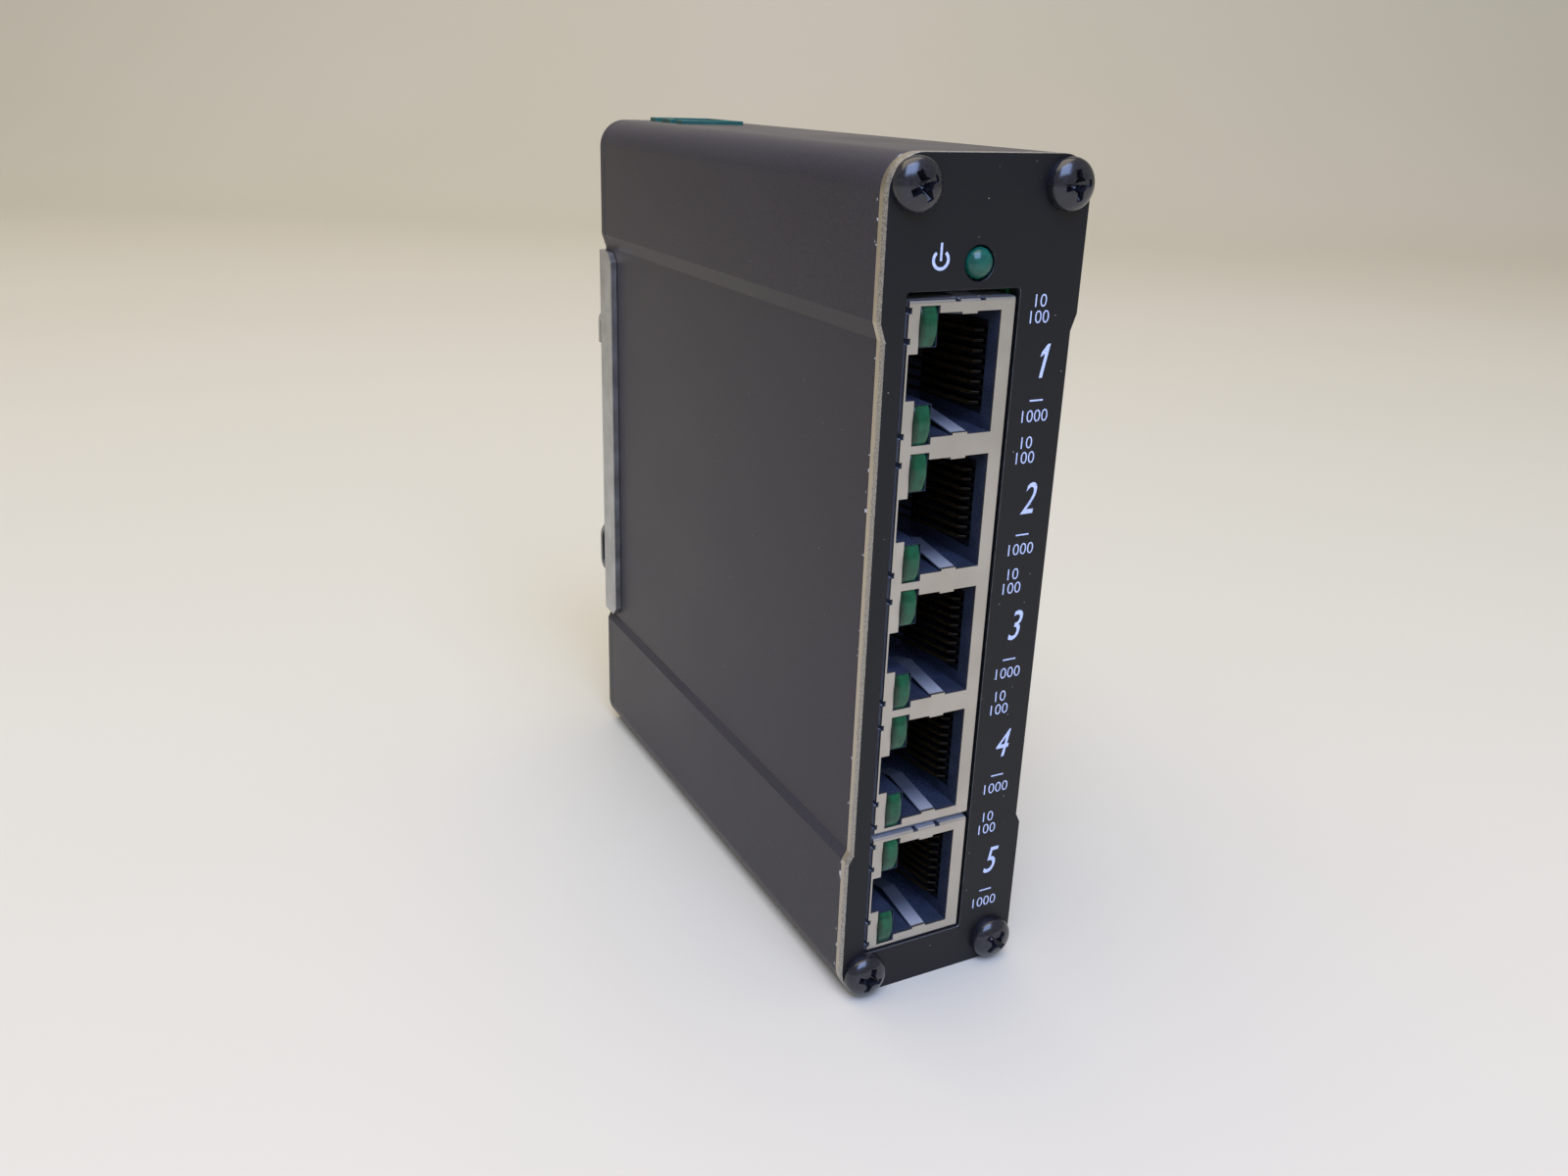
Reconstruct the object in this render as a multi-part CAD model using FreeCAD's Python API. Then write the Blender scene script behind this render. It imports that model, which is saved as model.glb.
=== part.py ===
import FreeCAD, Part
import math
import os

# Five-port Ethernet switch for a 35 mm DIN rail, standing on its bottom end.
# Millimetres. +X is to the right seen from the ports, +Y runs from the ports
# back to the rail, +Z is up. The origin is the middle of the whole object's
# footprint, at the height of the case's bottom.

# case: an extruded sleeve closed by a plate at each end
case_width = 22.3
case_height = 89.2
case_depth = 74.8            # front plate's face to rear plate's face
case_wall = 1.6
corner_radius = 3.5
neck_inset = 0.58            # how far the waist lies inside the wide ends
upper_wide = 14.8            # height of the wide end at the top
upper_bevel = 1.7
lower_wide = 17.3            # height of the wide end at the bottom
lower_bevel = 1.1
plate_thickness = 1.56
seam = 0.02                  # gap left between clamped faces

# plate screws, into channels in the sleeve's corners
screw_inset = 2.75           # screw centre from each edge of the outline
screw_diameter = 2.5
screw_length = 9.0
screw_head_diameter = 5.0
screw_head_height = 1.8
head_rounding = 0.75         # share of a pan head's height that is rounded off
screw_clearance = 0.1
flat_head_diameter = 4.2     # countersunk screws of the rear plate
flat_head_height = 1.1
boss_radius = 2.4

# circuit board, upright in guide ribs along the sleeve
board_offset = 15.0          # left edge of the case to the board's near face
board_thickness = 1.6
board_clearance = 0.12
board_end_gap = 0.4          # board's end to each plate
guide_width = 1.1
guide_height = 1.5

# modular jacks, lying on their side with the contacts by the board
jack_proud = 0.23            # jack's face behind the front plate's face
jack_height = 11.9           # from the board to the far side of the shield
jack_depth = 16.6
port_pitch = 13.97
ganged_ports = 4
first_port_height = 69.2     # centre of port 1 above the bottom
single_jack_drop = 56.75     # centre of port 1 to centre of port 5
jack_margin = 7.15           # outer port centre to the jack's end
contact_wall = 1.62          # board to the contact side of the socket
socket_height = 6.93
socket_width = 11.8
socket_depth = 13.0

# the jacks' moulded bodies
housing_gap = 0.05           # between a shield and the body in it
led_window_depth = 2.15
led_window_half = 6.59
latch_slot_half = 2.2
latch_slot_depth = 7.5
latch_way_half = 2.7
latch_way_depth = 9.5
peg_diameter = 1.5
peg_proud = 0.9              # peg's end past the board
peg_place = 8.9              # behind the jack's face
peg_spread = 5.72            # each side of a port's centre

# the jacks' shields
shield_sheet = 0.2
shield_bend = 0.35           # outside radius of the folds round the jack's face
shield_board_gap = 0.1
tail_gap = 0.8               # height of the opening over the contacts' tails
tail_gap_margin = 1.0        # jack's end to that opening
tab_places = (5.0, 12.5)     # board tabs, behind the jack's face
tab_width = 1.2
tab_root = 0.3
tab_proud = 1.2              # tab's end past the board
tab_slot_gap = 0.15
finger_sheet = 0.15
finger_offset = 9.8          # left edge of the case to the finger's middle
socket_finger_width = 1.7
socket_finger_root = 0.5     # how far it reaches over the face past the socket's wall
socket_finger_places = (6.8, 9.6)          # crest and tip behind the jack's face
socket_finger_heights = (0.15, 1.15, 0.35)  # root, crest and tip off the socket's wall
outer_finger_width = 2.3
outer_finger_bow = 0.28
outer_finger_places = (0.4, 2.8, 6.4)      # root, crest and end behind the jack's face
end_finger_offset = 4.8      # outer port centre to the side finger at a jack's end
relief_width = 0.6           # notches that free an outer finger's root
relief_depth = 1.0
relief_spread = 1.4          # from an outer finger's middle to each notch
vent_places = (8.0, 12.0)    # slits beside the stiffening strip, behind the jack's face
vent_spread = (1.9, 2.4)     # near and far edge of a slit from the port's centre

# contacts of a port and the comb that holds them
contact_count = 8
contact_pitch = 1.02
contact_width = 0.4
contact_sheet = 0.3
contact_depth = 0.6          # wire's line inside the comb, beyond the socket's wall
contact_bend = 0.5
contact_crest = 0.75         # top of the wire's front bend inside the socket's wall
contact_rise = 2.6           # how far the free end stands into the socket
contact_end_gap = 0.5        # free end to the socket's floor
contact_tail_bends = (1.0, 1.6)  # end and start of the step down to the board, ahead of the rear
comb_half_width = 4.6
comb_thickness = 1.5
comb_slot = 0.62
comb_slot_depth = 1.0
comb_front = 1.9             # behind the jack's face
comb_rear = 14.4
tail_reach = 0.9             # solder tail past the jack's rear

# port lamps, two to a port beside the latch's slot
lamp_width = 2.0
lamp_length = 3.75
lamp_depth = 6.0
lamp_proud = 0.3
lamp_nose = 0.9              # rounding of the lamp's nose
lamp_gap = 0.05

# front plate's openings
cutout_left = 2.58           # from the left edge of the case
cutout_right = 15.25
cutout_bottom = 5.2
cutout_top = 77.1
cutout_corner = 0.4

# power lamp and the block that carries it
power_lamp_offset = 10.3     # from the left edge of the case
power_lamp_height = 79.5
power_lamp_diameter = 3.0
power_lamp_clearance = 0.15
power_lamp_proud = 0.75
power_lamp_rounding = 1.3
power_lamp_seat = 0.3        # plate to the lamp's flange
power_lamp_flange = 0.3
power_lamp_flange_length = 1.0
lead_size = 0.5
lead_spread = 1.27           # each side of the lamp's middle
lead_root = 0.5              # how far a lead starts inside the lamp
lead_depth = 6.2             # from the plate to the board hole's centre
lead_proud = 1.0
lead_hole_radius = 0.45
lead_slot = 0.7
holder_gap = 0.05            # lamp's flange to the holder
holder_length = 6.6
holder_left = 2.2            # from the lamp's middle
holder_above = 2.1
holder_below = 2.3

# power header in the top
pole_count = 2
pole_pitch = 5.08
header_end = 0.45            # wall beyond the outer poles' pitch
header_height = 8.6          # above the board
header_length = 12.0         # along the plug's travel
header_proud = 0.45
header_wall = 0.9
header_pocket = 9.2
header_gap = 0.3
header_back_gap = 0.6        # rear plate to the header
header_notch_half = 0.9      # latching notch of each pole
header_notch_depth = 3.2
header_rib_half = 0.7
header_rib_height = 0.7
header_rib_lead = 1.2        # rib's top below the pocket's mouth
header_base = 0.5            # left solid under the pins' slots
pin_size = 1.0
pin_reach = 4.6              # free length inside the pocket
pin_slot_half = 0.55
pin_elbow = 1.2              # elbow above the header's lower end
pin_proud = 1.2
pin_hole_radius = 0.78

# rail clip, folded round the case's waist
clip_sheet = 0.8
clip_side_gap = 0.08
clip_bottom = 19.0
clip_top = 72.2
clip_flange = 4.4            # how far a flange reaches forward of the web
clip_bend = 0.05             # inside bend radius, pressed tight round the case
clip_corner = 1.2            # corners taken off the flanges' front ends
rail_height = 35.0
rail_middle = 44.6
hook_width = 5.2
hook_edge = 0.9              # hook's outer edge inside the flange's face
hook_overlap = 3.3
hook_reach = 2.9             # web's face to the hook's outer face
hook_play = 0.2
hook_window = 2.6            # opening left in the web below a hook's end
hook_window_gap = 0.15
hook_root = 1.6              # length of the hook's root in the web
hook_root_bend = 0.6

# latch that slides behind the clip's web
latch_width = 11.8
latch_side_play = 0.1
latch_sheet = 0.7
latch_play = 0.05
latch_overlap = 4.0
latch_reach = 3.6            # web's face to the lip's outer face
latch_lip_drop = 2.9         # rail's edge to the lip's lower face
latch_lip_lead = 1.5         # how far the lip's tip leans towards the rail
latch_lip_bend = 1.4
latch_top = 50.0
bend_middle = 1.0            # bend radius at the middle of the sheet
tool_slot_half = 3.0         # slot for a screwdriver in the latch's lower face
tool_slot_range = (0.9, 2.1)  # behind the web's face
seat_root = 1.6
seat_bend = 0.4
lip_start = 0.3              # level at which the tongue widens into the lip
window_gap = 0.3             # round the shelf and the spring

# strap, spring shelf and ears of the clip
strap_height = 3.0
strap_bottom = 32.6
joggle_bend = 0.5
joggle_far = 2.6             # joggle's flat end, its start and its end, past the latch's notch
joggle_start = 1.5
joggle_end = 0.3
shelf_reach = 2.6
shelf_half = 2.1
shelf_root = 0.6
shelf_bend = 0.41
ear_length = 3.0
ear_overlap = 1.2
ear_drop = 0.6               # notch's top to the ears
spring_wire = 0.45
spring_diameter = 2.5        # to the middle of the wire
spring_turns = 4
spring_length = 9.4
spring_end_gap = 0.02
spring_sink = 0.35           # how far the coil stands into the latch's window
fixing_diameter = 3.0
fixing_head_diameter = 5.4
fixing_head_height = 1.8
fixing_length = 4.5
fixing_heights = (56.0, 67.0)

# components on the board: rows, heights of their middles above the bottom, and their
# sizes along the case, up it and off the board
transformer_row = 6.2        # behind the jacks
chip_row = 25.0
capacitor_row = 12.0         # ahead of the rear plate
diode_shift = 6.5
switch_chip_height = 45.0
memory_height = 62.0
crystal_height = 28.0
regulator_height = 72.0
inductor_height = 56.0
diode_height = 71.0
fuse_height = 71.5
input_can_height = 62.0
output_can_height = 48.0
transformer_size = (9.4, 12.7, 5.8)
switch_chip_size = (14.0, 14.0, 1.4)
memory_size = (5.0, 4.0, 1.5)
crystal_size = (4.7, 11.4, 3.5)
regulator_size = (6.0, 5.0, 1.6)
inductor_size = (10.0, 10.0, 4.8)
diode_size = (3.6, 4.6, 2.4)
fuse_size = (4.5, 7.3, 1.8)
input_can_size = (4.0, 10.0)   # radius and height of a can
output_can_size = (3.15, 7.7)
thermal_pad_margin = 1.0
chip_bevel = 0.25
can_foot = 1.2
can_base = 1.0
can_crimp = 2.2              # crimp's height, depth and length
can_crimp_depth = 0.3
can_crimp_length = 0.5

# extra length of the tools that cut and of the parts that are joined
cut_over = 1.0
joint_over = 0.01

# places that follow from the sizes
overall_depth = screw_head_height + case_depth + clip_sheet + latch_reach
front = screw_head_height - overall_depth / 2
back = front + case_depth
left = -case_width / 2
right = case_width / 2
neck_half = case_width / 2 - neck_inset
board_face = left + board_offset
board_back = board_face + board_thickness
jack_face = front + jack_proud
jack_left = board_face - jack_height
socket_right = board_face - contact_wall
socket_left = socket_right - socket_height
lamp_left = socket_left - led_window_depth
web_inner = back
web_outer = back + clip_sheet
finger_middle = left + finger_offset
gang_centres = [first_port_height - port_pitch * i for i in range(ganged_ports)]
single_centre = first_port_height - single_jack_drop
port_centres = gang_centres + [single_centre]
header_span = pole_count * pole_pitch + 2 * header_end
header_back = back - plate_thickness - header_back_gap
header_front = header_back - header_span
header_top = case_height + header_proud
chip_middle = jack_face + jack_depth + chip_row
transformer_middle = jack_face + jack_depth + transformer_row
power_row = back - plate_thickness - capacitor_row

X_AXIS = FreeCAD.Vector(1, 0, 0)
Y_AXIS = FreeCAD.Vector(0, 1, 0)
Z_AXIS = FreeCAD.Vector(0, 0, 1)
NORMALS = {"xy": Z_AXIS, "xz": Y_AXIS, "yz": X_AXIS}


def point_on(plane, u, v, level):
    """A point of a drawing plane: u and v in it, level along its normal."""
    if plane == "xy":
        return FreeCAD.Vector(u, v, level)
    if plane == "xz":
        return FreeCAD.Vector(u, level, v)
    return FreeCAD.Vector(level, u, v)


def closed_wire(corners, plane, level):
    """Closed outline through corners (u, v) or (u, v, radius), rounded where a radius is given."""
    stations = []
    for i, corner in enumerate(corners):
        here = FreeCAD.Vector(corner[0], corner[1], 0)
        radius = corner[2] if len(corner) > 2 else 0
        if radius <= 0:
            stations.append((here, None, here))
            continue
        before = FreeCAD.Vector(corners[i - 1][0], corners[i - 1][1], 0) - here
        following = corners[(i + 1) % len(corners)]
        after = FreeCAD.Vector(following[0], following[1], 0) - here
        before.normalize()
        after.normalize()
        half_angle = before.getAngle(after) / 2
        bisector = before + after
        bisector.normalize()
        centre = here + bisector * (radius / math.sin(half_angle))
        reach = radius / math.tan(half_angle)
        stations.append((here + before * reach, centre - bisector * radius, here + after * reach))
    edges = []
    for i, (start, middle, end) in enumerate(stations):
        if middle is not None:
            arc_points = [point_on(plane, p.x, p.y, level) for p in (start, middle, end)]
            edges.append(Part.Arc(*arc_points).toShape())
        following = stations[(i + 1) % len(stations)][0]
        if (following - end).Length > 1e-6:
            ends = [point_on(plane, p.x, p.y, level) for p in (end, following)]
            edges.append(Part.LineSegment(*ends).toShape())
    return Part.Wire(edges)


def prism(corners, plane, level, length):
    """Solid of an outline drawn at a level and carried along the plane's normal."""
    face = Part.Face(closed_wire(corners, plane, level))
    return face.extrude(NORMALS[plane] * length)


def sheet_section(path, sheet):
    """Outline of a folded sheet from its middle line, a list of (u, v, bend radius)."""
    points = [FreeCAD.Vector(p[0], p[1], 0) for p in path]
    sides = ([], [])
    for i, here in enumerate(points):
        into = here - points[i - 1] if i > 0 else points[1] - here
        out = points[i + 1] - here if i < len(points) - 1 else into
        into.normalize()
        out = FreeCAD.Vector(out)
        out.normalize()
        normal_in = FreeCAD.Vector(-into.y, into.x, 0)
        normal_out = FreeCAD.Vector(-out.y, out.x, 0)
        mitre = normal_in + normal_out
        mitre.normalize()
        stretch = sheet / 2 / mitre.dot(normal_in)
        turn = into.x * out.y - into.y * out.x
        bend = path[i][2] if len(path[i]) > 2 else 0
        for side, sign in zip(sides, (1, -1)):
            corner = here + mitre * (stretch * sign)
            inner = turn * sign > 0
            radius = bend - sheet / 2 if inner else bend + sheet / 2
            side.append((corner.x, corner.y, max(radius, 0) if bend > 0 else 0))
    return sides[0] + sides[1][::-1]


def folded(path, sheet, plane, level, length):
    """Solid of a folded sheet: its section carried along the plane's normal."""
    return prism(sheet_section(path, sheet), plane, level, length)


def block(x_range, y_range, z_range):
    """Box between two values along each axis."""
    corner = FreeCAD.Vector(x_range[0], y_range[0], z_range[0])
    return Part.makeBox(x_range[1] - x_range[0], y_range[1] - y_range[0],
                        z_range[1] - z_range[0], corner)


def rod(radius, length, start, direction):
    """Round rod from a point along a direction."""
    return Part.makeCylinder(radius, length, FreeCAD.Vector(*start), direction)


def turned(profile, base, direction):
    """Solid of revolution from (radius, distance) corners, along direction from base."""
    body = Part.Face(closed_wire(profile, "xz", 0))
    solid = body.revolve(FreeCAD.Vector(0, 0, 0), Z_AXIS, 360)
    solid.Placement = FreeCAD.Placement(FreeCAD.Vector(*base),
                                        FreeCAD.Rotation(Z_AXIS, direction))
    return solid


def fuse_all(shapes):
    """One solid from overlapping shapes."""
    return shapes[0].multiFuse(shapes[1:]).removeSplitter()


def cut_all(shape, tools):
    """A shape with every tool taken out of it."""
    return shape.cut(Part.makeCompound(tools))


def case_outline(inset):
    """Corners of the case's waisted outline, drawn inset from the outer faces."""
    wide = case_width / 2 - inset
    waist = wide - neck_inset
    low = inset
    high = case_height - inset
    radius = corner_radius - inset
    right_side = [(wide, low, radius), (wide, lower_wide), (waist, lower_wide + lower_bevel),
                  (waist, case_height - upper_wide - upper_bevel),
                  (wide, case_height - upper_wide), (wide, high, radius)]
    left_side = [(-c[0],) + c[1:] for c in right_side[::-1]]
    return right_side + left_side


def corner_places():
    """Centres of the four plate screws as (x, z)."""
    span_x = case_width / 2 - screw_inset
    return [(sx * span_x, z) for sx in (-1, 1)
            for z in (screw_inset, case_height - screw_inset)]


def make_sleeve():
    """Extruded sleeve with corner screw channels, board guides and the header's opening."""
    start = front + plate_thickness + seam
    length = case_depth - 2 * (plate_thickness + seam)
    tube = prism(case_outline(0), "xz", start, length)
    tube = tube.cut(prism(case_outline(case_wall), "xz", start, length))
    outer = prism(case_outline(0), "xz", start, length)
    added = []
    for x, z in corner_places():
        added.append(rod(boss_radius, length, (x, start, z), Y_AXIS).common(outer))
    for low, high in ((case_wall / 2, case_wall + guide_height),
                      (case_height - case_wall - guide_height, case_height - case_wall / 2)):
        near = board_face - board_clearance
        far = board_back + board_clearance
        added.append(block((near - guide_width, near), (start, start + length), (low, high)))
        added.append(block((far, far + guide_width), (start, start + length), (low, high)))
    sleeve = fuse_all([tube] + added)
    holes = []
    for x, z in corner_places():
        holes.append(rod(screw_diameter / 2 + screw_clearance / 2, length, (x, start, z), Y_AXIS))
    opening_depth = case_wall + guide_height + cut_over
    holes.append(block((board_face - header_height - header_gap, board_face),
                       (header_front - header_gap, header_back + header_gap),
                       (case_height - opening_depth, case_height + cut_over)))
    return cut_all(sleeve, holes)


def make_front_plate():
    """Front plate with the port window and the power lamp's hole."""
    plate = prism(case_outline(0), "xz", front, plate_thickness)
    window = [(left + cutout_left, cutout_bottom, cutout_corner),
              (left + cutout_right, cutout_bottom, cutout_corner),
              (left + cutout_right, cutout_top, cutout_corner),
              (left + cutout_left, cutout_top, cutout_corner)]
    lamp_hole = rod(power_lamp_diameter / 2 + power_lamp_clearance, plate_thickness,
                    (left + power_lamp_offset, front, power_lamp_height), Y_AXIS)
    tools = [prism(window, "xz", front, plate_thickness), lamp_hole]
    tools += [rod(screw_diameter / 2 + screw_clearance, plate_thickness, (x, front, z), Y_AXIS)
              for x, z in corner_places()]
    return cut_all(plate, tools)


def make_rear_plate():
    """Rear plate with countersunk corner holes and two tapped holes for the rail clip."""
    start = back - plate_thickness
    plate = prism(case_outline(0), "xz", start, plate_thickness)
    tools = [flat_screw((x, back, z), Y_AXIS * -1, screw_clearance, plate_thickness + cut_over)
             for x, z in corner_places()]
    for z in fixing_heights:
        tools.append(rod(fixing_diameter / 2 + screw_clearance / 2, plate_thickness,
                         (0, start, z), Y_AXIS))
    return cut_all(plate, tools)


def pan_screw(place, direction, shank, length, head, head_height):
    """Pan head screw with its head's seat at a place and its shank along a direction."""
    profile = [(0, -head_height), (head / 2, -head_height, head_height * head_rounding),
               (head / 2, 0), (shank / 2, 0), (shank / 2, length), (0, length)]
    return turned(profile, place, direction)


def flat_screw(place, direction, slack, length):
    """Countersunk screw flush with a face, or with slack the tool that cuts its seat."""
    head = flat_head_diameter / 2 + slack
    shank = screw_diameter / 2 + slack
    profile = [(0, 0), (head, 0), (shank, flat_head_height), (shank, length), (0, length)]
    return turned(profile, place, direction)


def make_front_screws():
    """Four pan head screws of the front plate."""
    return Part.makeCompound([pan_screw((x, front, z), Y_AXIS, screw_diameter, screw_length,
                                        screw_head_diameter, screw_head_height)
                              for x, z in corner_places()])


def make_rear_screws():
    """Four countersunk screws of the rear plate, flush with its face."""
    return Part.makeCompound([flat_screw((x, back, z), Y_AXIS * -1, 0, screw_length)
                              for x, z in corner_places()])


def jack_range(centres):
    """Lowest and highest z of a jack that holds these ports."""
    return (min(centres) - jack_margin, max(centres) + jack_margin)


def port_window(centre, start, length):
    """Tools that open one port in a jack's face."""
    half = socket_width / 2
    mouth = block((socket_left, socket_right), (start, start + length),
                  (centre - half, centre + half))
    lamps = block((lamp_left, socket_left + joint_over), (start, start + length),
                  (centre - led_window_half, centre + led_window_half))
    latch = block((jack_left + shield_sheet, lamp_left + joint_over), (start, start + length),
                  (centre - latch_slot_half, centre + latch_slot_half))
    return [mouth, lamps, latch]


def socket_finger(centre, side):
    """Earthing finger folded from the face into a socket, on its upper or lower wall."""
    wall = centre + side * socket_width / 2
    root = jack_face + finger_sheet / 2
    root_height, crest_height, tip_height = socket_finger_heights
    crest, tip = (jack_face + place for place in socket_finger_places)
    path = [(root, wall + side * socket_finger_root), (root, wall - side * root_height),
            (crest, wall - side * crest_height), (tip, wall - side * tip_height)]
    return folded(path, finger_sheet, "yz", finger_middle - socket_finger_width / 2,
                  socket_finger_width)


def side_finger_heights(centres):
    """Heights of the outer fingers on a jack's left side: near its ends and between ports."""
    ends = [max(centres) + end_finger_offset, min(centres) - end_finger_offset]
    return ends + [(a + b) / 2 for a, b in zip(centres, centres[1:])]


def outer_finger(root, sign, plane, level):
    """Shallow earthing finger that bows out of a shield's side, rooted at its face."""
    start, crest, end = (jack_face + place for place in outer_finger_places)
    path = [(start, root), (crest, root + sign * outer_finger_bow), (end, root)]
    if plane == "xy":
        path = [(p[1], p[0]) for p in path]
    return folded(path, finger_sheet, plane, level - outer_finger_width / 2, outer_finger_width)


def relief_notch(x, z):
    """Tool that frees one side of an outer finger's root at the jack's face."""
    half = relief_width / 2
    return block((x - half, x + half), (jack_face - cut_over, jack_face + relief_depth),
                 (z - half, z + half))


def make_shield(centres):
    """Folded metal shield over a jack, open towards the board."""
    low, high = jack_range(centres)
    rear = jack_face + jack_depth
    outline = [(jack_face, low, shield_bend), (jack_face, high, shield_bend),
               (rear, high), (rear, low)]
    inner_bend = shield_bend - shield_sheet
    inside = [(jack_face + shield_sheet, low + shield_sheet, inner_bend),
              (jack_face + shield_sheet, high - shield_sheet, inner_bend),
              (rear - shield_sheet, high - shield_sheet), (rear - shield_sheet, low + shield_sheet)]
    reach = board_face - shield_board_gap - jack_left
    shell = prism(outline, "yz", jack_left, reach)
    shell = shell.cut(prism(inside, "yz", jack_left + shield_sheet, reach))
    tools = [block((board_face - tail_gap, board_face), (rear - cut_over, rear + cut_over),
                   (low + tail_gap_margin, high - tail_gap_margin))]
    for centre in centres:
        tools += port_window(centre, jack_face - cut_over, shield_sheet + 2 * cut_over)
        for side in (-1, 1):
            edges = sorted(centre + side * offset for offset in vent_spread)
            tools.append(block((jack_left - cut_over, jack_left + shield_sheet + joint_over),
                               [jack_face + place for place in vent_places], edges))
    for side in (-1, 1):
        for height in side_finger_heights(centres):
            tools.append(relief_notch(jack_left, height + side * relief_spread))
        tools.append(relief_notch(finger_middle + side * relief_spread, high))
    shell = cut_all(shell, tools)
    added = []
    for centre in centres:
        added += [socket_finger(centre, side) for side in (-1, 1)]
    for height in side_finger_heights(centres):
        added.append(outer_finger(jack_left + finger_sheet / 2, -1, "xy", height))
    added.append(outer_finger(high - finger_sheet / 2, 1, "yz", finger_middle))
    for z_range in ((low, low + shield_sheet), (high - shield_sheet, high)):
        for place in tab_places:
            tab = (jack_face + place - tab_width / 2, jack_face + place + tab_width / 2)
            added.append(block((board_face - tab_root, board_back + tab_proud), tab, z_range))
    return fuse_all([shell] + added)


def make_housing(centres):
    """Moulded body of a jack, with its sockets, latch ways, lamp pockets and board pegs."""
    low, high = jack_range(centres)
    inset = shield_sheet + housing_gap
    face = jack_face + inset
    mouth = face - cut_over
    rear = jack_face + jack_depth - inset
    body = block((jack_left + inset, board_face), (face, rear), (low + inset, high - inset))
    tools = []
    for centre in centres:
        half = socket_width / 2
        tools.append(block((socket_left, socket_right + joint_over),
                           (mouth, jack_face + socket_depth), (centre - half, centre + half)))
        tools.append(block((lamp_left, socket_left + joint_over),
                           (mouth, jack_face + latch_way_depth),
                           (centre - latch_way_half, centre + latch_way_half)))
        tools.append(block((jack_left + inset - cut_over, lamp_left + joint_over),
                           (mouth, jack_face + latch_slot_depth),
                           (centre - latch_slot_half, centre + latch_slot_half)))
        tools.append(block((socket_right, board_face + cut_over),
                           (jack_face + comb_front, rear + cut_over),
                           (centre - comb_half_width, centre + comb_half_width)))
        for side in (-1, 1):
            middle = lamp_middle(centre, side)
            reach = lamp_length / 2 + lamp_gap
            tools.append(block((lamp_left, lamp_left + lamp_width + 2 * lamp_gap),
                               (mouth, jack_face + lamp_depth + lamp_gap),
                               (middle - reach, middle + reach)))
    body = cut_all(body, tools)
    pegs = [rod(peg_diameter / 2, joint_over + board_thickness + peg_proud,
                (board_face - joint_over, y, z), X_AXIS) for y, z in peg_spots(centres)]
    return fuse_all([body] + pegs)


def peg_spots(centres):
    """Where a jack's pegs enter the board, as (y, z)."""
    return [(jack_face + peg_place, centre + side * peg_spread)
            for centre in sorted({centres[0], centres[-1]}) for side in (-1, 1)]


def contact_rows():
    """Offsets of a port's contacts from its centre."""
    return [(i - (contact_count - 1) / 2) * contact_pitch for i in range(contact_count)]


def make_contacts(centre):
    """Eight spring wires of one port, each from its solder tail round to its free end."""
    line = socket_right + contact_depth
    tail = board_face - contact_sheet / 2
    crest = socket_right - contact_crest
    rear = jack_face + jack_depth
    bend = jack_face + comb_front + contact_bend
    step_end, step_start = (rear - place for place in contact_tail_bends)
    path = [(tail, rear + tail_reach), (tail, step_end), (line, step_start),
            (line, bend + contact_bend), (line - contact_bend, bend),
            (crest, bend + contact_bend),
            (socket_right - contact_rise, jack_face + socket_depth - contact_end_gap)]
    return Part.makeCompound([folded(path, contact_sheet, "xy",
                                     centre + offset - contact_width / 2, contact_width)
                              for offset in contact_rows()])


def make_comb(centre):
    """Moulded insert whose ribs hold a port's wires in line."""
    y_range = (jack_face + comb_front + housing_gap, jack_face + comb_rear)
    slot_range = (y_range[0] - cut_over, y_range[1] + cut_over)
    near = socket_right + housing_gap
    half = comb_half_width - housing_gap
    body = block((near, near + comb_thickness), y_range, (centre - half, centre + half))
    tools = [block((near - cut_over, socket_right + comb_slot_depth), slot_range,
                   (centre + offset - comb_slot / 2, centre + offset + comb_slot / 2))
             for offset in contact_rows()]
    return cut_all(body, tools)


def lamp_middle(centre, side):
    """Height of a port lamp's middle, above or below its port's centre."""
    return centre + side * (led_window_half - lamp_length / 2 - lamp_gap)


def make_port_lamps(centre):
    """Two lamps of one port, each with a nose rounded at its ends and right side."""
    lamps = []
    near = lamp_left + lamp_gap
    far = near + lamp_width
    tip = jack_face - lamp_proud
    foot = jack_face + lamp_depth
    for side in (-1, 1):
        low = lamp_middle(centre, side) - lamp_length / 2
        high = low + lamp_length
        plan = [(near, foot), (near, tip), (far, tip, lamp_nose), (far, foot)]
        elevation = [(foot, low), (tip, low, lamp_nose), (tip, high, lamp_nose), (foot, high)]
        body = prism(plan, "xy", low, lamp_length)
        lamps.append(body.common(prism(elevation, "yz", near, lamp_width)))
    return Part.makeCompound(lamps)


def make_board():
    """Circuit board with the holes for pegs, tabs, leads and pins."""
    ends = (front + plate_thickness + board_end_gap, back - plate_thickness - board_end_gap)
    z_range = (case_wall + board_clearance, case_height - case_wall - board_clearance)
    through = (board_face - cut_over, board_back + cut_over)
    holes = [(peg_diameter / 2 + housing_gap, y, z)
             for centres in (gang_centres, [single_centre]) for y, z in peg_spots(centres)]
    holes += [(pin_hole_radius, y, pin_elbow_height()) for y in pole_places()]
    holes += [(lead_hole_radius, lead_place(), z) for z in lead_heights()]
    tools = [rod(radius, through[1] - through[0], (through[0], y, z), X_AXIS)
             for radius, y, z in holes]
    tab_reach = tab_width / 2 + tab_slot_gap
    for centres in (gang_centres, [single_centre]):
        low, high = jack_range(centres)
        for z in (low + shield_sheet / 2, high - shield_sheet / 2):
            for place in tab_places:
                y_range = (jack_face + place - tab_reach, jack_face + place + tab_reach)
                tools.append(block(through, y_range, (z - shield_sheet, z + shield_sheet)))
    return cut_all(block((board_face, board_back), ends, z_range), tools)


def lead_place():
    """Depth at which the power lamp's leads enter the board."""
    return front + plate_thickness + lead_depth


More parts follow.
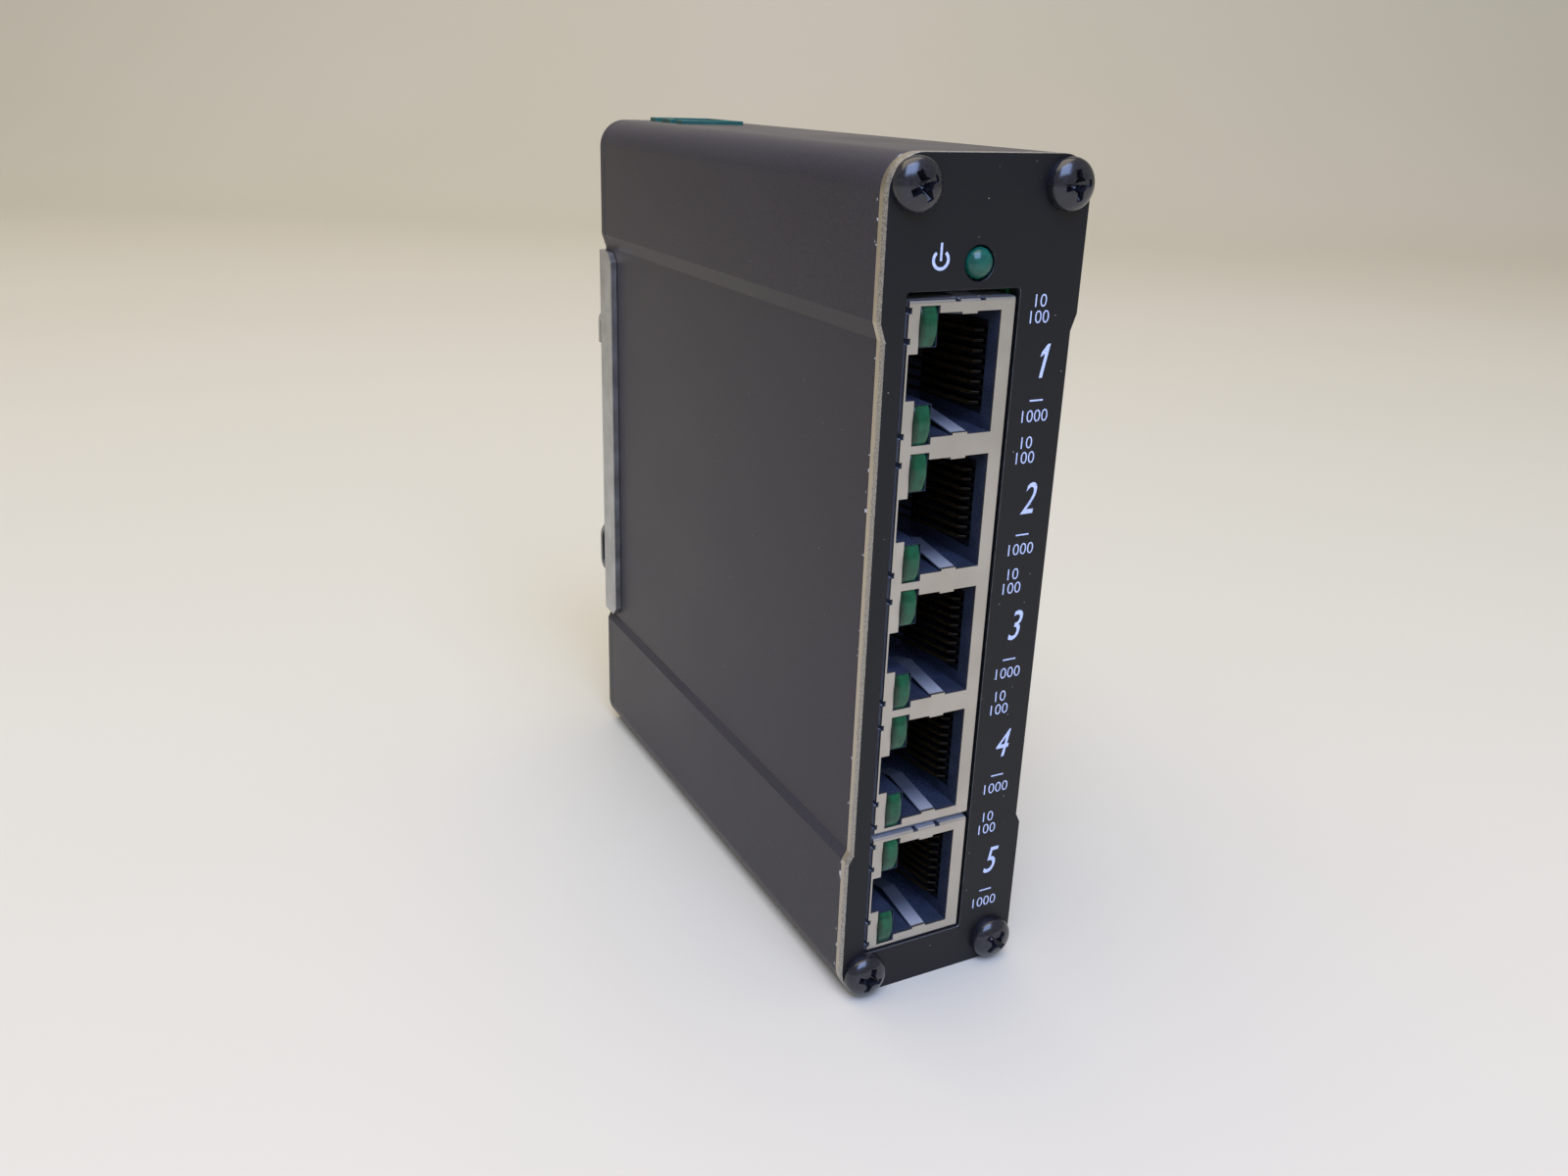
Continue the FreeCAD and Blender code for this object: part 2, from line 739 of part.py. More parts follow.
def lead_heights():
    """Height of each lead of the power lamp."""
    return [power_lamp_height + side * lead_spread for side in (-1, 1)]


def lead_shapes(start, end, size):
    """Square rods along the power lamp's bent leads, from a depth to a place past the board."""
    path = [(left + power_lamp_offset, start), (left + power_lamp_offset, lead_place()),
            (end, lead_place())]
    return [folded(path, size, "xy", z - size / 2, size) for z in lead_heights()]


def make_power_lamp():
    """Domed 3 mm lamp with two leads bent to the board."""
    radius = power_lamp_diameter / 2
    tip = front - power_lamp_proud
    seat = front + plate_thickness + power_lamp_seat
    foot = seat + power_lamp_flange_length
    profile = [(0, tip), (radius, tip, power_lamp_rounding), (radius, seat),
               (radius + power_lamp_flange, seat), (radius + power_lamp_flange, foot), (0, foot)]
    lens = turned(profile, (left + power_lamp_offset, 0, power_lamp_height), Y_AXIS)
    return fuse_all([lens] + lead_shapes(foot - lead_root, board_back + lead_proud, lead_size))


def make_lamp_holder():
    """Block that carries the power lamp on the board."""
    seat = front + plate_thickness + power_lamp_seat + power_lamp_flange_length + holder_gap
    body = block((left + power_lamp_offset - holder_left, board_face),
                 (seat, seat + holder_length),
                 (power_lamp_height - holder_below, power_lamp_height + holder_above))
    return cut_all(body, lead_shapes(seat - cut_over, board_face + cut_over, lead_slot))


def pole_places():
    """Depth of each pole of the power header."""
    middle = (header_front + header_back) / 2
    return [middle + (i - (pole_count - 1) / 2) * pole_pitch for i in range(pole_count)]


def pin_elbow_height():
    """Height at which the header's pins turn towards the board."""
    return header_top - header_length + pin_elbow


def header_pin_line():
    """Distance across the case at which the header's pins stand."""
    return board_face - header_height / 2


def make_header():
    """Power header: a walled pocket with polarising ribs, lying on the board."""
    far_side = board_face - header_height
    pocket_floor = header_top - header_pocket
    body = block((far_side, board_face), (header_front, header_back),
                 (header_top - header_length, header_top))
    tools = [block((far_side + header_wall, board_face - header_wall),
                   (header_front + header_wall, header_back - header_wall),
                   (pocket_floor, header_top + cut_over))]
    ribs = []
    line = header_pin_line()
    elbow = pin_elbow_height()
    rib_root = board_face - header_wall
    for y in pole_places():
        slot = (y - pin_slot_half, y + pin_slot_half)
        tools.append(block((line - pin_slot_half, line + pin_slot_half), slot,
                           (header_top - header_length + header_base, pocket_floor + cut_over)))
        tools.append(block((line - pin_slot_half, board_face + cut_over), slot,
                           (elbow - pin_slot_half, elbow + pin_slot_half)))
        tools.append(block((far_side - cut_over, far_side + header_wall + joint_over),
                           (y - header_notch_half, y + header_notch_half),
                           (header_top - header_notch_depth, header_top + cut_over)))
        ribs.append(block((rib_root - header_rib_height, rib_root + joint_over),
                          (y - header_rib_half, y + header_rib_half),
                          (pocket_floor, header_top - header_rib_lead)))
    return fuse_all([cut_all(body, tools)] + ribs)


def make_header_pins():
    """Square pins of the power header, from the pocket down and through the board."""
    path = [(header_pin_line(), header_top - header_pocket + pin_reach),
            (header_pin_line(), pin_elbow_height()),
            (board_back + pin_proud, pin_elbow_height())]
    return Part.makeCompound([folded(path, pin_size, "xz", y - pin_size / 2, pin_size)
                              for y in pole_places()])


def clip_outer_half():
    """Half the width of the rail clip over its flanges."""
    return neck_half + clip_side_gap + clip_sheet


def hook_ranges():
    """Left and right x of each upper hook."""
    outer = clip_outer_half() - hook_edge
    return [(-outer, -outer + hook_width), (outer - hook_width, outer)]


def make_clip():
    """Folded rail clip: channel round the case's waist, hooks, strap, shelf and guide ears."""
    half = clip_outer_half() - clip_sheet / 2
    middle = web_inner + clip_sheet / 2
    edge = web_inner - clip_flange
    bend = clip_bend + clip_sheet / 2
    channel = [(-half, edge), (-half, middle, bend), (half, middle, bend), (half, edge)]
    clip = folded(channel, clip_sheet, "xy", clip_bottom, clip_top - clip_bottom)
    through = (web_inner - cut_over, web_outer + cut_over)
    rail_top = rail_middle + rail_height / 2
    notch_half = latch_width / 2 + latch_side_play
    tools = [block((-notch_half, notch_half), through,
                   (clip_bottom - cut_over, latch_top + latch_play))]
    for z, side in ((clip_bottom, 1), (clip_top, -1)):
        corner = [(edge, z), (edge + clip_corner, z), (edge, z + side * clip_corner)]
        tools.append(prism(corner, "yz", -clip_outer_half(), 2 * clip_outer_half()))
    for low, high in hook_ranges():
        tools.append(block((low - hook_window_gap, high + hook_window_gap), through,
                           (rail_top - hook_overlap - hook_window, rail_top + hook_play)))
    for z in fixing_heights:
        tools.append(rod(fixing_diameter / 2 + screw_clearance, through[1] - through[0],
                         (0, through[0], z), Y_AXIS))
    shelf_z = rail_top + hook_play + clip_sheet / 2
    leg_y = web_outer + hook_reach - clip_sheet / 2
    hook = [(middle, shelf_z + hook_root), (middle, shelf_z, hook_root_bend),
            (leg_y, shelf_z, bend_middle), (leg_y, rail_top - hook_overlap)]
    hooks = [folded(hook, clip_sheet, "yz", low, high - low) for low, high in hook_ranges()]
    return fuse_all([cut_all(clip, tools)] + hooks + make_clip_guides(notch_half))


def joggle(side, notch_half):
    """Path from the clip's web up to the level that clears the latch, on one side of its notch."""
    web_middle = web_inner + clip_sheet / 2
    return [(side * (notch_half + joggle_far), web_middle),
            (side * (notch_half + joggle_start), web_middle, joggle_bend),
            (side * (notch_half + joggle_end), raised_middle(), joggle_bend)]


def raised_middle():
    """Middle of the sheet where the clip passes over the latch."""
    return web_outer + latch_play + clip_sheet / 2


def make_clip_guides(notch_half):
    """Strap with the spring's shelf, and two ears, that hold the latch against the case."""
    raised = raised_middle()
    strap = joggle(-1, notch_half) + joggle(1, notch_half)[::-1]
    shelf_z = strap_bottom + strap_height - clip_sheet / 2
    shelf = [(raised, shelf_z - shelf_root), (raised, shelf_z, shelf_bend),
             (web_outer + shelf_reach, shelf_z)]
    guides = [folded(strap, clip_sheet, "xy", strap_bottom, strap_height),
              folded(shelf, clip_sheet, "yz", -shelf_half, 2 * shelf_half)]
    for side in (-1, 1):
        ear = joggle(side, notch_half) + [(side * (notch_half - ear_overlap), raised)]
        guides.append(folded(ear, clip_sheet, "xy", latch_top - ear_drop - ear_length, ear_length))
    return guides


def make_clip_screws():
    """Two screws through the clip's web into the rear plate."""
    return Part.makeCompound([pan_screw((0, web_outer, z), Y_AXIS * -1, fixing_diameter,
                                        fixing_length, fixing_head_diameter, fixing_head_height)
                              for z in fixing_heights])


def make_latch():
    """Sliding latch: a flat tongue in the clip's notch, folded out into the lip under the rail."""
    rail_bottom = rail_middle - rail_height / 2
    tongue_y = web_inner + latch_play + latch_sheet / 2
    lip_y = web_outer + latch_reach - latch_sheet / 2
    fold_z = rail_bottom - latch_lip_drop + latch_sheet / 2
    tip_z = rail_bottom + latch_overlap
    step_y = web_outer + latch_play + lip_start
    outer = clip_outer_half() - hook_edge
    path = [(tongue_y, latch_top), (tongue_y, fold_z, bend_middle), (lip_y, fold_z, bend_middle),
            (lip_y, tip_z - latch_lip_lead, latch_lip_bend), (lip_y - latch_lip_lead, tip_z)]
    wide = folded(path, latch_sheet, "yz", -outer, 2 * outer)
    tongue = block((-latch_width / 2, latch_width / 2), (web_inner, step_y), (0, case_height))
    lip = block((-outer, outer), (step_y, web_outer + 2 * latch_reach), (0, case_height))
    latch = wide.common(fuse_all([tongue, lip]))
    seat_z = strap_bottom + strap_height + spring_length
    tool_slot = block((-tool_slot_half, tool_slot_half),
                      [web_outer + place for place in tool_slot_range],
                      (fold_z - latch_sheet, fold_z + latch_sheet))
    window = block((-shelf_half - window_gap, shelf_half + window_gap),
                   (web_inner - cut_over, web_outer + joint_over),
                   (strap_bottom + strap_height - window_gap, seat_z))
    seat = folded([(tongue_y, seat_z + seat_root), (tongue_y, seat_z + latch_sheet / 2, seat_bend),
                   (web_outer + shelf_reach, seat_z + latch_sheet / 2)],
                  latch_sheet, "yz", -shelf_half, 2 * shelf_half)
    return fuse_all([cut_all(latch, [tool_slot, window]), seat])


def spring_line():
    """Distance of the spring's axis behind the case."""
    return web_outer + (spring_diameter + spring_wire) / 2 - spring_sink


def make_spring():
    """Compression spring between the clip's shelf and the latch's seat, its wire drawn four-sided."""
    bottom = strap_bottom + strap_height + spring_wire / 2 + spring_end_gap
    height = spring_length - spring_wire - 2 * spring_end_gap
    helix = Part.makeHelix(height / spring_turns, height, spring_diameter / 2)
    half = spring_wire / 2
    axis = spring_diameter / 2
    corners = [FreeCAD.Vector(axis + x * half, 0, z * half)
               for x, z in ((1, 0), (0, 1), (-1, 0), (0, -1))]
    section = Part.makePolygon(corners + corners[:1])
    coil = Part.Wire(helix.Edges).makePipeShell([section], True, True)
    coil.translate(FreeCAD.Vector(0, spring_line(), bottom))
    return coil


def chip(y, z, size, on_back=False):
    """Moulded component body seated on the board, its free edges bevelled."""
    length, height, thickness = size
    bevel = min(chip_bevel, thickness / 4)
    sign = 1 if on_back else -1
    base = board_back if on_back else board_face
    wires = []
    for rise, inset in ((0, 0), (thickness - bevel, 0), (thickness, bevel)):
        u = length / 2 - inset
        v = height / 2 - inset
        corners = [(y - u, z - v), (y + u, z - v), (y + u, z + v), (y - u, z + v)]
        wires.append(closed_wire(corners, "yz", base + sign * rise))
    return Part.makeLoft(wires, True, True)


def can(y, z, radius, height):
    """Upright electrolytic capacitor on the board: square foot and crimped aluminium can."""
    foot = block((board_face - can_foot, board_face), (y - radius, y + radius),
                 (z - radius, z + radius))
    profile = [(0, can_base), (radius, can_base), (radius - can_crimp_depth, can_crimp),
               (radius, can_crimp + can_crimp_length), (radius, height), (0, height)]
    return fuse_all([foot, turned(profile, (board_face, y, z), X_AXIS * -1)])


def make_thermal_pad():
    """Soft pad between the switch chip and the case's right wall."""
    inner_wall = right - neck_inset - case_wall
    half = switch_chip_size[0] / 2 - thermal_pad_margin
    return block((board_back + switch_chip_size[2], inner_wall),
                 (chip_middle - half, chip_middle + half),
                 (switch_chip_height - half, switch_chip_height + half))


nodes = {
    "case_sleeve": make_sleeve(),
    "front_plate": make_front_plate(),
    "rear_plate": make_rear_plate(),
    "front_screws": make_front_screws(),
    "rear_screws": make_rear_screws(),
    "rail_clip": make_clip(),
    "rail_clip_screws": make_clip_screws(),
    "rail_latch": make_latch(),
    "latch_spring": make_spring(),
    "circuit_board": make_board(),
    "gang_jack_shield": make_shield(gang_centres),
    "gang_jack_housing": make_housing(gang_centres),
    "single_jack_shield": make_shield([single_centre]),
    "single_jack_housing": make_housing([single_centre]),
    "power_lamp": make_power_lamp(),
    "power_lamp_holder": make_lamp_holder(),
    "power_header": make_header(),
    "power_header_pins": make_header_pins(),
    "switch_chip": chip(chip_middle, switch_chip_height, switch_chip_size, on_back=True),
    "thermal_pad": make_thermal_pad(),
    "memory_chip": chip(chip_middle, memory_height, memory_size, on_back=True),
    "crystal": chip(chip_middle, crystal_height, crystal_size),
    "voltage_regulator": chip(chip_middle, regulator_height, regulator_size),
    "power_inductor": chip(chip_middle, inductor_height, inductor_size),
    "input_capacitor": can(power_row, input_can_height, *input_can_size),
    "output_capacitor": can(power_row, output_can_height, *output_can_size),
    "input_diode": chip(power_row + diode_shift, diode_height, diode_size),
    "resettable_fuse": chip(power_row, fuse_height, fuse_size),
}
for number, port_centre in enumerate(port_centres, start=1):
    nodes[f"port_{number}_contacts"] = make_contacts(port_centre)
    nodes[f"port_{number}_contact_comb"] = make_comb(port_centre)
    nodes[f"port_{number}_lamps"] = make_port_lamps(port_centre)
    nodes[f"port_{number}_transformer"] = chip(transformer_middle, port_centre, transformer_size)

os.makedirs("parts", exist_ok=True)
for name, shape in nodes.items():
    print(name, len(shape.Solids), round(shape.Volume, 2), shape.isValid())
    shape.exportStep(f"parts/{name}.step")
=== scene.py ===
import bpy
import bmesh
import math
import numpy as np
from mathutils import Matrix, Vector


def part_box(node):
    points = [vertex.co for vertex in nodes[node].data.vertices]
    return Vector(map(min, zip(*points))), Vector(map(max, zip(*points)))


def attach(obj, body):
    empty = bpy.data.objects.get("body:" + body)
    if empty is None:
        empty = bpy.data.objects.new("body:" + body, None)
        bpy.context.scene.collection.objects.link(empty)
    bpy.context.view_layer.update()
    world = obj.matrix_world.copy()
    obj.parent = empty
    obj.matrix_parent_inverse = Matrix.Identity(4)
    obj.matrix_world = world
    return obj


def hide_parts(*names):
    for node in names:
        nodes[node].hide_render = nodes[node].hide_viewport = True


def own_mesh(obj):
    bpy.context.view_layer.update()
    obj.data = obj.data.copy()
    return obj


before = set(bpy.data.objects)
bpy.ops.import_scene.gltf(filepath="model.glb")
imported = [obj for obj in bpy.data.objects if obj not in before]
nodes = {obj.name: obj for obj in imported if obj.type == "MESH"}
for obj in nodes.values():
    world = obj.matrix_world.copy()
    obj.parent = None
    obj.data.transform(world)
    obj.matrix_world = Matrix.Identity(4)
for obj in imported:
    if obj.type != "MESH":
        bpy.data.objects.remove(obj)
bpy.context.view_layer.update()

mm = 0.001
scene = bpy.context.scene
print("frame loaded:", len(nodes), "nodes")


def linear(hexColour):
    # sRGB hex to linear light: c/12.92 up to 0.04045, else ((c + 0.055)/1.055)^2.4
    parts = [int(hexColour[i:i + 2], 16) / 255 for i in (1, 3, 5)]
    return tuple(p / 12.92 if p <= 0.04045 else ((p + 0.055) / 1.055) ** 2.4 for p in parts) + (1.0,)


def setSockets(tree, node, values):
    # links or sets a node's inputs, told by name or, where several share a name, by index
    for key, value in values:
        if isinstance(value, bpy.types.NodeSocket):
            tree.links.new(value, node.inputs[key])
        else:
            node.inputs[key].default_value = value


def addNode(tree, kind, inputs=None, **settings):
    # adds one node; an input's value is a number, a colour, or another node's socket to link
    node = tree.nodes.new(kind)
    for name, value in settings.items():
        setattr(node, name, value)
    setSockets(tree, node, (inputs or {}).items())
    return node


def newMaterial(name, **shaderInputs):
    # a Principled material whose patterns read Object coordinates
    material = bpy.data.materials.new(name)
    material.use_nodes = True
    tree = material.node_tree
    tree.nodes.clear()
    shader = addNode(tree, "ShaderNodeBsdfPrincipled", shaderInputs)
    addNode(tree, "ShaderNodeOutputMaterial", {"Surface": shader.outputs[0]})
    place = addNode(tree, "ShaderNodeTexCoord").outputs["Object"]
    return material, tree, shader, place


def noiseField(tree, place, size, detail=2.0, roughness=0.5, stretch=(1, 1, 1)):
    # noise whose features are about size metres across; stretch above 1 draws them out along an axis
    scaled = addNode(tree, "ShaderNodeMapping", {"Vector": place, "Scale": tuple(1 / s for s in stretch)})
    return addNode(tree, "ShaderNodeTexNoise", {"Vector": scaled.outputs[0], "Scale": 1 / size,
                                                "Detail": detail, "Roughness": roughness}).outputs["Fac"]


def ramp(tree, value, stops):
    # colour ramp from (position, colour or grey level) stops
    node = addNode(tree, "ShaderNodeValToRGB", {"Fac": value})
    elements = node.color_ramp.elements
    while len(elements) < len(stops):
        elements.new(0.5)
    for element, (position, colour) in zip(elements, stops):
        element.position = position
        element.color = colour if isinstance(colour, tuple) else (colour, colour, colour, 1)
    return node.outputs["Color"]


def mixColour(tree, factor, first, second, blend="MIX"):
    # first where the factor is 0, second (or their blend) where it is 1
    node = addNode(tree, "ShaderNodeMix", data_type="RGBA", blend_type=blend)
    # the Mix node's factor, and its two colours' sockets
    setSockets(tree, node, ((0, factor), (6, first), (7, second)))
    return node.outputs[2]


def maths(tree, operation, *values):
    # one sum, product or comparison of numbers or sockets
    node = addNode(tree, "ShaderNodeMath", operation=operation)
    setSockets(tree, node, enumerate(values))
    return node.outputs[0]


def coordinate(tree, place, axis):
    # one coordinate of the piece's own space
    return addNode(tree, "ShaderNodeSeparateXYZ", {"Vector": place}).outputs[axis]


def bump(tree, height, depth):
    # depth is the real relief in metres
    return addNode(tree, "ShaderNodeBump", {"Height": height, "Distance": depth,
                                            "Strength": 1.0}).outputs["Normal"]


dust = {"shift": (3.1, 3.1, 3.1), "gather": 0.52}


def dustSpecks(tree, place, spacing, size, patch):
    # 1 inside small round specks, else 0: one in each Voronoi cell of this spacing, and only in the
    # patches where a broad noise is high, as settled dust gathers
    gathered = maths(tree, "GREATER_THAN", noiseField(tree, place, patch, 0), dust["gather"])
    shifted = addNode(tree, "ShaderNodeMapping", {"Vector": place, "Location": dust["shift"]})
    cells = addNode(tree, "ShaderNodeTexVoronoi", {"Vector": shifted.outputs[0], "Scale": 1 / spacing})
    speck = maths(tree, "LESS_THAN", cells.outputs["Distance"], size / spacing)
    return maths(tree, "MULTIPLY", speck, gathered)


anodised = {"dark": "#343136", "light": "#403d42", "rough": (0.32, 0.4), "specular": 0.16,
            "grain": 0.22 * mm, "smudge": 14 * mm, "smudgeStretch": (1, 1.6, 1), "grainShare": 0.7,
            "line": 0.35 * mm, "lineStretch": (1, 60, 1), "lineShare": 0.15, "relief": 0.003 * mm,
            "dust": "#77736e", "dustSpacing": 2.1 * mm, "dustSize": 0.085 * mm, "dustPatch": 5.0 * mm,
            "chip": "#c4c6ca", "chipSize": 0.9 * mm, "chipLevel": 0.66, "chipWidth": 0.3 * mm}


def anodisedAluminium():
    # black-dyed anodised extrusion: a blasted, finely grained satin skin, with faint draw lines along
    # the extrusion, handling smudges and a little dust
    s = anodised
    material, tree, shader, place = newMaterial("anodisedAluminiumBlasted",
                                                **{"Specular IOR Level": s["specular"]})
    grain = noiseField(tree, place, s["grain"], 3)
    smudge = noiseField(tree, place, s["smudge"], 2, stretch=s["smudgeStretch"])
    lines = noiseField(tree, place, s["line"], 2, stretch=s["lineStretch"])
    tone = maths(tree, "ADD", maths(tree, "MULTIPLY", grain, s["grainShare"]),
                 maths(tree, "MULTIPLY", smudge, 1 - s["grainShare"]))
    colour = ramp(tree, tone, [(0.35, linear(s["dark"])), (0.65, linear(s["light"]))])
    seen = dustSpecks(tree, place, s["dustSpacing"], s["dustSize"], s["dustPatch"])
    colour = mixColour(tree, seen, colour, linear(s["dust"]))
    # small chips along the front edge, where the dye is knocked off the metal
    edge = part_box("case_sleeve")[0].y + s["chipWidth"]
    chips = maths(tree, "GREATER_THAN", noiseField(tree, place, s["chipSize"], 2), s["chipLevel"])
    chips = maths(tree, "MULTIPLY", chips, maths(tree, "LESS_THAN", coordinate(tree, place, "Y"), edge))
    tree.links.new(mixColour(tree, chips, colour, linear(s["chip"])), shader.inputs["Base Color"])
    rough = ramp(tree, smudge, [(0.3, s["rough"][0]), (0.7, s["rough"][1])])
    tree.links.new(rough, shader.inputs["Roughness"])
    height = maths(tree, "ADD", grain, maths(tree, "MULTIPLY", lines, s["lineShare"]))
    tree.links.new(bump(tree, height, s["relief"]), shader.inputs["Normal"])
    return material


plateFinish = {"black": "#04060b", "worn": "#0b0d13", "rough": (0.42, 0.52), "specular": 0.4,
               "grain": 0.18 * mm, "relief": 0.008 * mm,
               "dust": "#9b978f", "dustSpacing": 1.1 * mm, "dustSize": 0.06 * mm, "dustPatch": 2.3 * mm}


def coatedPlate():
    # aluminium plate with a matte black coat: fine orange-peel grain and settled dust specks
    s = plateFinish
    material, tree, shader, place = newMaterial("coatedAluminiumMatte",
                                                **{"Specular IOR Level": s["specular"]})
    grain = noiseField(tree, place, s["grain"], 3)
    tone = ramp(tree, grain, [(0.35, linear(s["black"])), (0.7, linear(s["worn"]))])
    seen = dustSpecks(tree, place, s["dustSpacing"], s["dustSize"], s["dustPatch"])
    tree.links.new(mixColour(tree, seen, tone, linear(s["dust"])), shader.inputs["Base Color"])
    rough = ramp(tree, grain, [(0.3, s["rough"][0]), (0.7, s["rough"][1])])
    tree.links.new(rough, shader.inputs["Roughness"])
    tree.links.new(bump(tree, grain, s["relief"]), shader.inputs["Normal"])
    return material


rimFinish = {"smooth": "#bdb3a4", "pit": "#8b8884", "crest": "#c6c3be", "thick": 1.56 * mm,
             "broken": 0.38, "wander": 0.3, "wanderSize": 1.2 * mm, "pitSize": 0.16 * mm,
             "relief": 0.03 * mm, "smoothRough": 0.36, "brokenExtra": 0.18}


def bareAluminium():
    # the plate's sheared rim, uncoated: a rough broken band in front, up to a wandering share of the
    # plate's thickness, and a smooth burnished band behind it
    s = rimFinish
    material, tree, shader, place = newMaterial("bareAluminiumSheared", Metallic=1.0)
    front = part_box("front_plate")[0].y
    depth = maths(tree, "DIVIDE", maths(tree, "SUBTRACT", coordinate(tree, place, "Y"), front), s["thick"])
    wander = maths(tree, "MULTIPLY", noiseField(tree, place, s["wanderSize"], 2), s["wander"])
    broken = maths(tree, "LESS_THAN", depth, maths(tree, "ADD", wander, s["broken"]))
    pits = noiseField(tree, place, s["pitSize"], 3)
    pitted = ramp(tree, pits, [(0.38, linear(s["pit"])), (0.62, linear(s["crest"]))])
    tree.links.new(mixColour(tree, broken, linear(s["smooth"]), pitted), shader.inputs["Base Color"])
    rough = maths(tree, "ADD", maths(tree, "MULTIPLY", broken, s["brokenExtra"]), s["smoothRough"])
    tree.links.new(rough, shader.inputs["Roughness"])
    height = maths(tree, "MULTIPLY", pits, broken)
    tree.links.new(bump(tree, height, s["relief"]), shader.inputs["Normal"])
    return material


cutFinish = {"dark": "#55575c", "light": "#7d8087", "rough": 0.42, "line": 0.1 * mm}


def cutAluminium():
    # the window's milled edge: an even fine satin, greyer than the sheared rim
    s = cutFinish
    material, tree, shader, place = newMaterial("aluminiumMilledEdge", Metallic=1.0, Roughness=s["rough"])
    lines = noiseField(tree, place, s["line"], 2, stretch=(1, 1, 12))
    colour = ramp(tree, lines, [(0.3, linear(s["dark"])), (0.7, linear(s["light"]))])
    tree.links.new(colour, shader.inputs["Base Color"])
    return material


metalStrip = {"bloom": 3.5 * mm, "line": 0.12 * mm, "lineStretch": (1, 1, 45), "bloomShare": 0.75,
              "relief": 0.002 * mm}


def drawnMetal(name, light, dark, roughness):
    # rolled or drawn metal, such as zinc-plated strip: cool grey, soft cloudy bloom, faint rolling lines
    s = metalStrip
    material, tree, shader, place = newMaterial(name, Metallic=1.0)
    bloom = noiseField(tree, place, s["bloom"], 4, 0.6)
    lines = noiseField(tree, place, s["line"], 2, stretch=s["lineStretch"])
    tone = maths(tree, "ADD", maths(tree, "MULTIPLY", bloom, s["bloomShare"]),
                 maths(tree, "MULTIPLY", lines, 1 - s["bloomShare"]))
    colour = ramp(tree, tone, [(0.35, linear(dark)), (0.65, linear(light))])
    tree.links.new(colour, shader.inputs["Base Color"])
    rough = ramp(tree, bloom, [(0.3, roughness[0]), (0.7, roughness[1])])
    tree.links.new(rough, shader.inputs["Roughness"])
    tree.links.new(bump(tree, lines, s["relief"]), shader.inputs["Normal"])
    return material


shieldSheet = {"dark": "#bab5ac", "light": "#c8c3ba", "rough": (0.38, 0.44), "cloud": 5 * mm,
               "line": 0.08 * mm, "lineStretch": (1, 1, 30), "relief": 0.0015 * mm, "face": 0.3 * mm,
               "finger": 5 * mm, "mouthPaintedReflection": "#d6dae4", "deepPaintedShade": "#7d818b", "millExtra": 0.25}


def nickelPlatedSheet():
    # thin copper-alloy sheet, stamped and nickel plated: bright, slightly warm, with faint stamping marks
    s = shieldSheet
    material, tree, shader, place = newMaterial("nickelPlatedSheetStamped", Metallic=1.0)
    cloud = noiseField(tree, place, s["cloud"], 2)
    lines = noiseField(tree, place, s["line"], 2, stretch=s["lineStretch"])
    colour = ramp(tree, cloud, [(0.3, linear(s["dark"])), (0.7, linear(s["light"]))])
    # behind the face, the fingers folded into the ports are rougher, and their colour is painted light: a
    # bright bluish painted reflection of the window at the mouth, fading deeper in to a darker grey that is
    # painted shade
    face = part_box("gang_jack_shield")[0].y + s["face"]
    depth = maths(tree, "DIVIDE", maths(tree, "SUBTRACT", coordinate(tree, place, "Y"), face), s["finger"])
    inside = maths(tree, "GREATER_THAN", depth, 0.0)
    # painted light: bright at the port's mouth, darker as painted shade deeper inside
    finger = ramp(tree, depth, [(0.1, linear(s["mouthPaintedReflection"])), (0.8, linear(s["deepPaintedShade"]))])
    tree.links.new(mixColour(tree, inside, colour, finger), shader.inputs["Base Color"])
    rough = maths(tree, "ADD", ramp(tree, cloud, [(0.3, s["rough"][0]), (0.7, s["rough"][1])]),
                  maths(tree, "MULTIPLY", inside, s["millExtra"]))
    tree.links.new(rough, shader.inputs["Roughness"])
    tree.links.new(bump(tree, lines, s["relief"]), shader.inputs["Normal"])
    return material


screwFinish = {"dark": "#131419", "light": "#202129", "rough": (0.18, 0.28), "grain": 0.25 * mm,
               "relief": 0.004 * mm, "oil": 0.35, "oilRough": 0.14}


def blackOxideScrew():
    # blackened and oiled steel: glossy near-black with a thin oil film
    s = screwFinish
    material, tree, shader, place = newMaterial("blackOxideSteelOiled", **{
        "Coat Weight": s["oil"], "Coat Roughness": s["oilRough"]})
    grain = noiseField(tree, place, s["grain"], 3)
    colour = ramp(tree, grain, [(0.35, linear(s["dark"])), (0.65, linear(s["light"]))])
    tree.links.new(colour, shader.inputs["Base Color"])
    rough = ramp(tree, grain, [(0.3, s["rough"][0]), (0.7, s["rough"][1])])
    tree.links.new(rough, shader.inputs["Roughness"])
    tree.links.new(bump(tree, grain, s["relief"]), shader.inputs["Normal"])
    return material


wireFinish = {"rough": (0.32, 0.42), "line": 0.06 * mm, "lineStretch": (1, 12, 1), "bareDepth": 2.4 * mm}


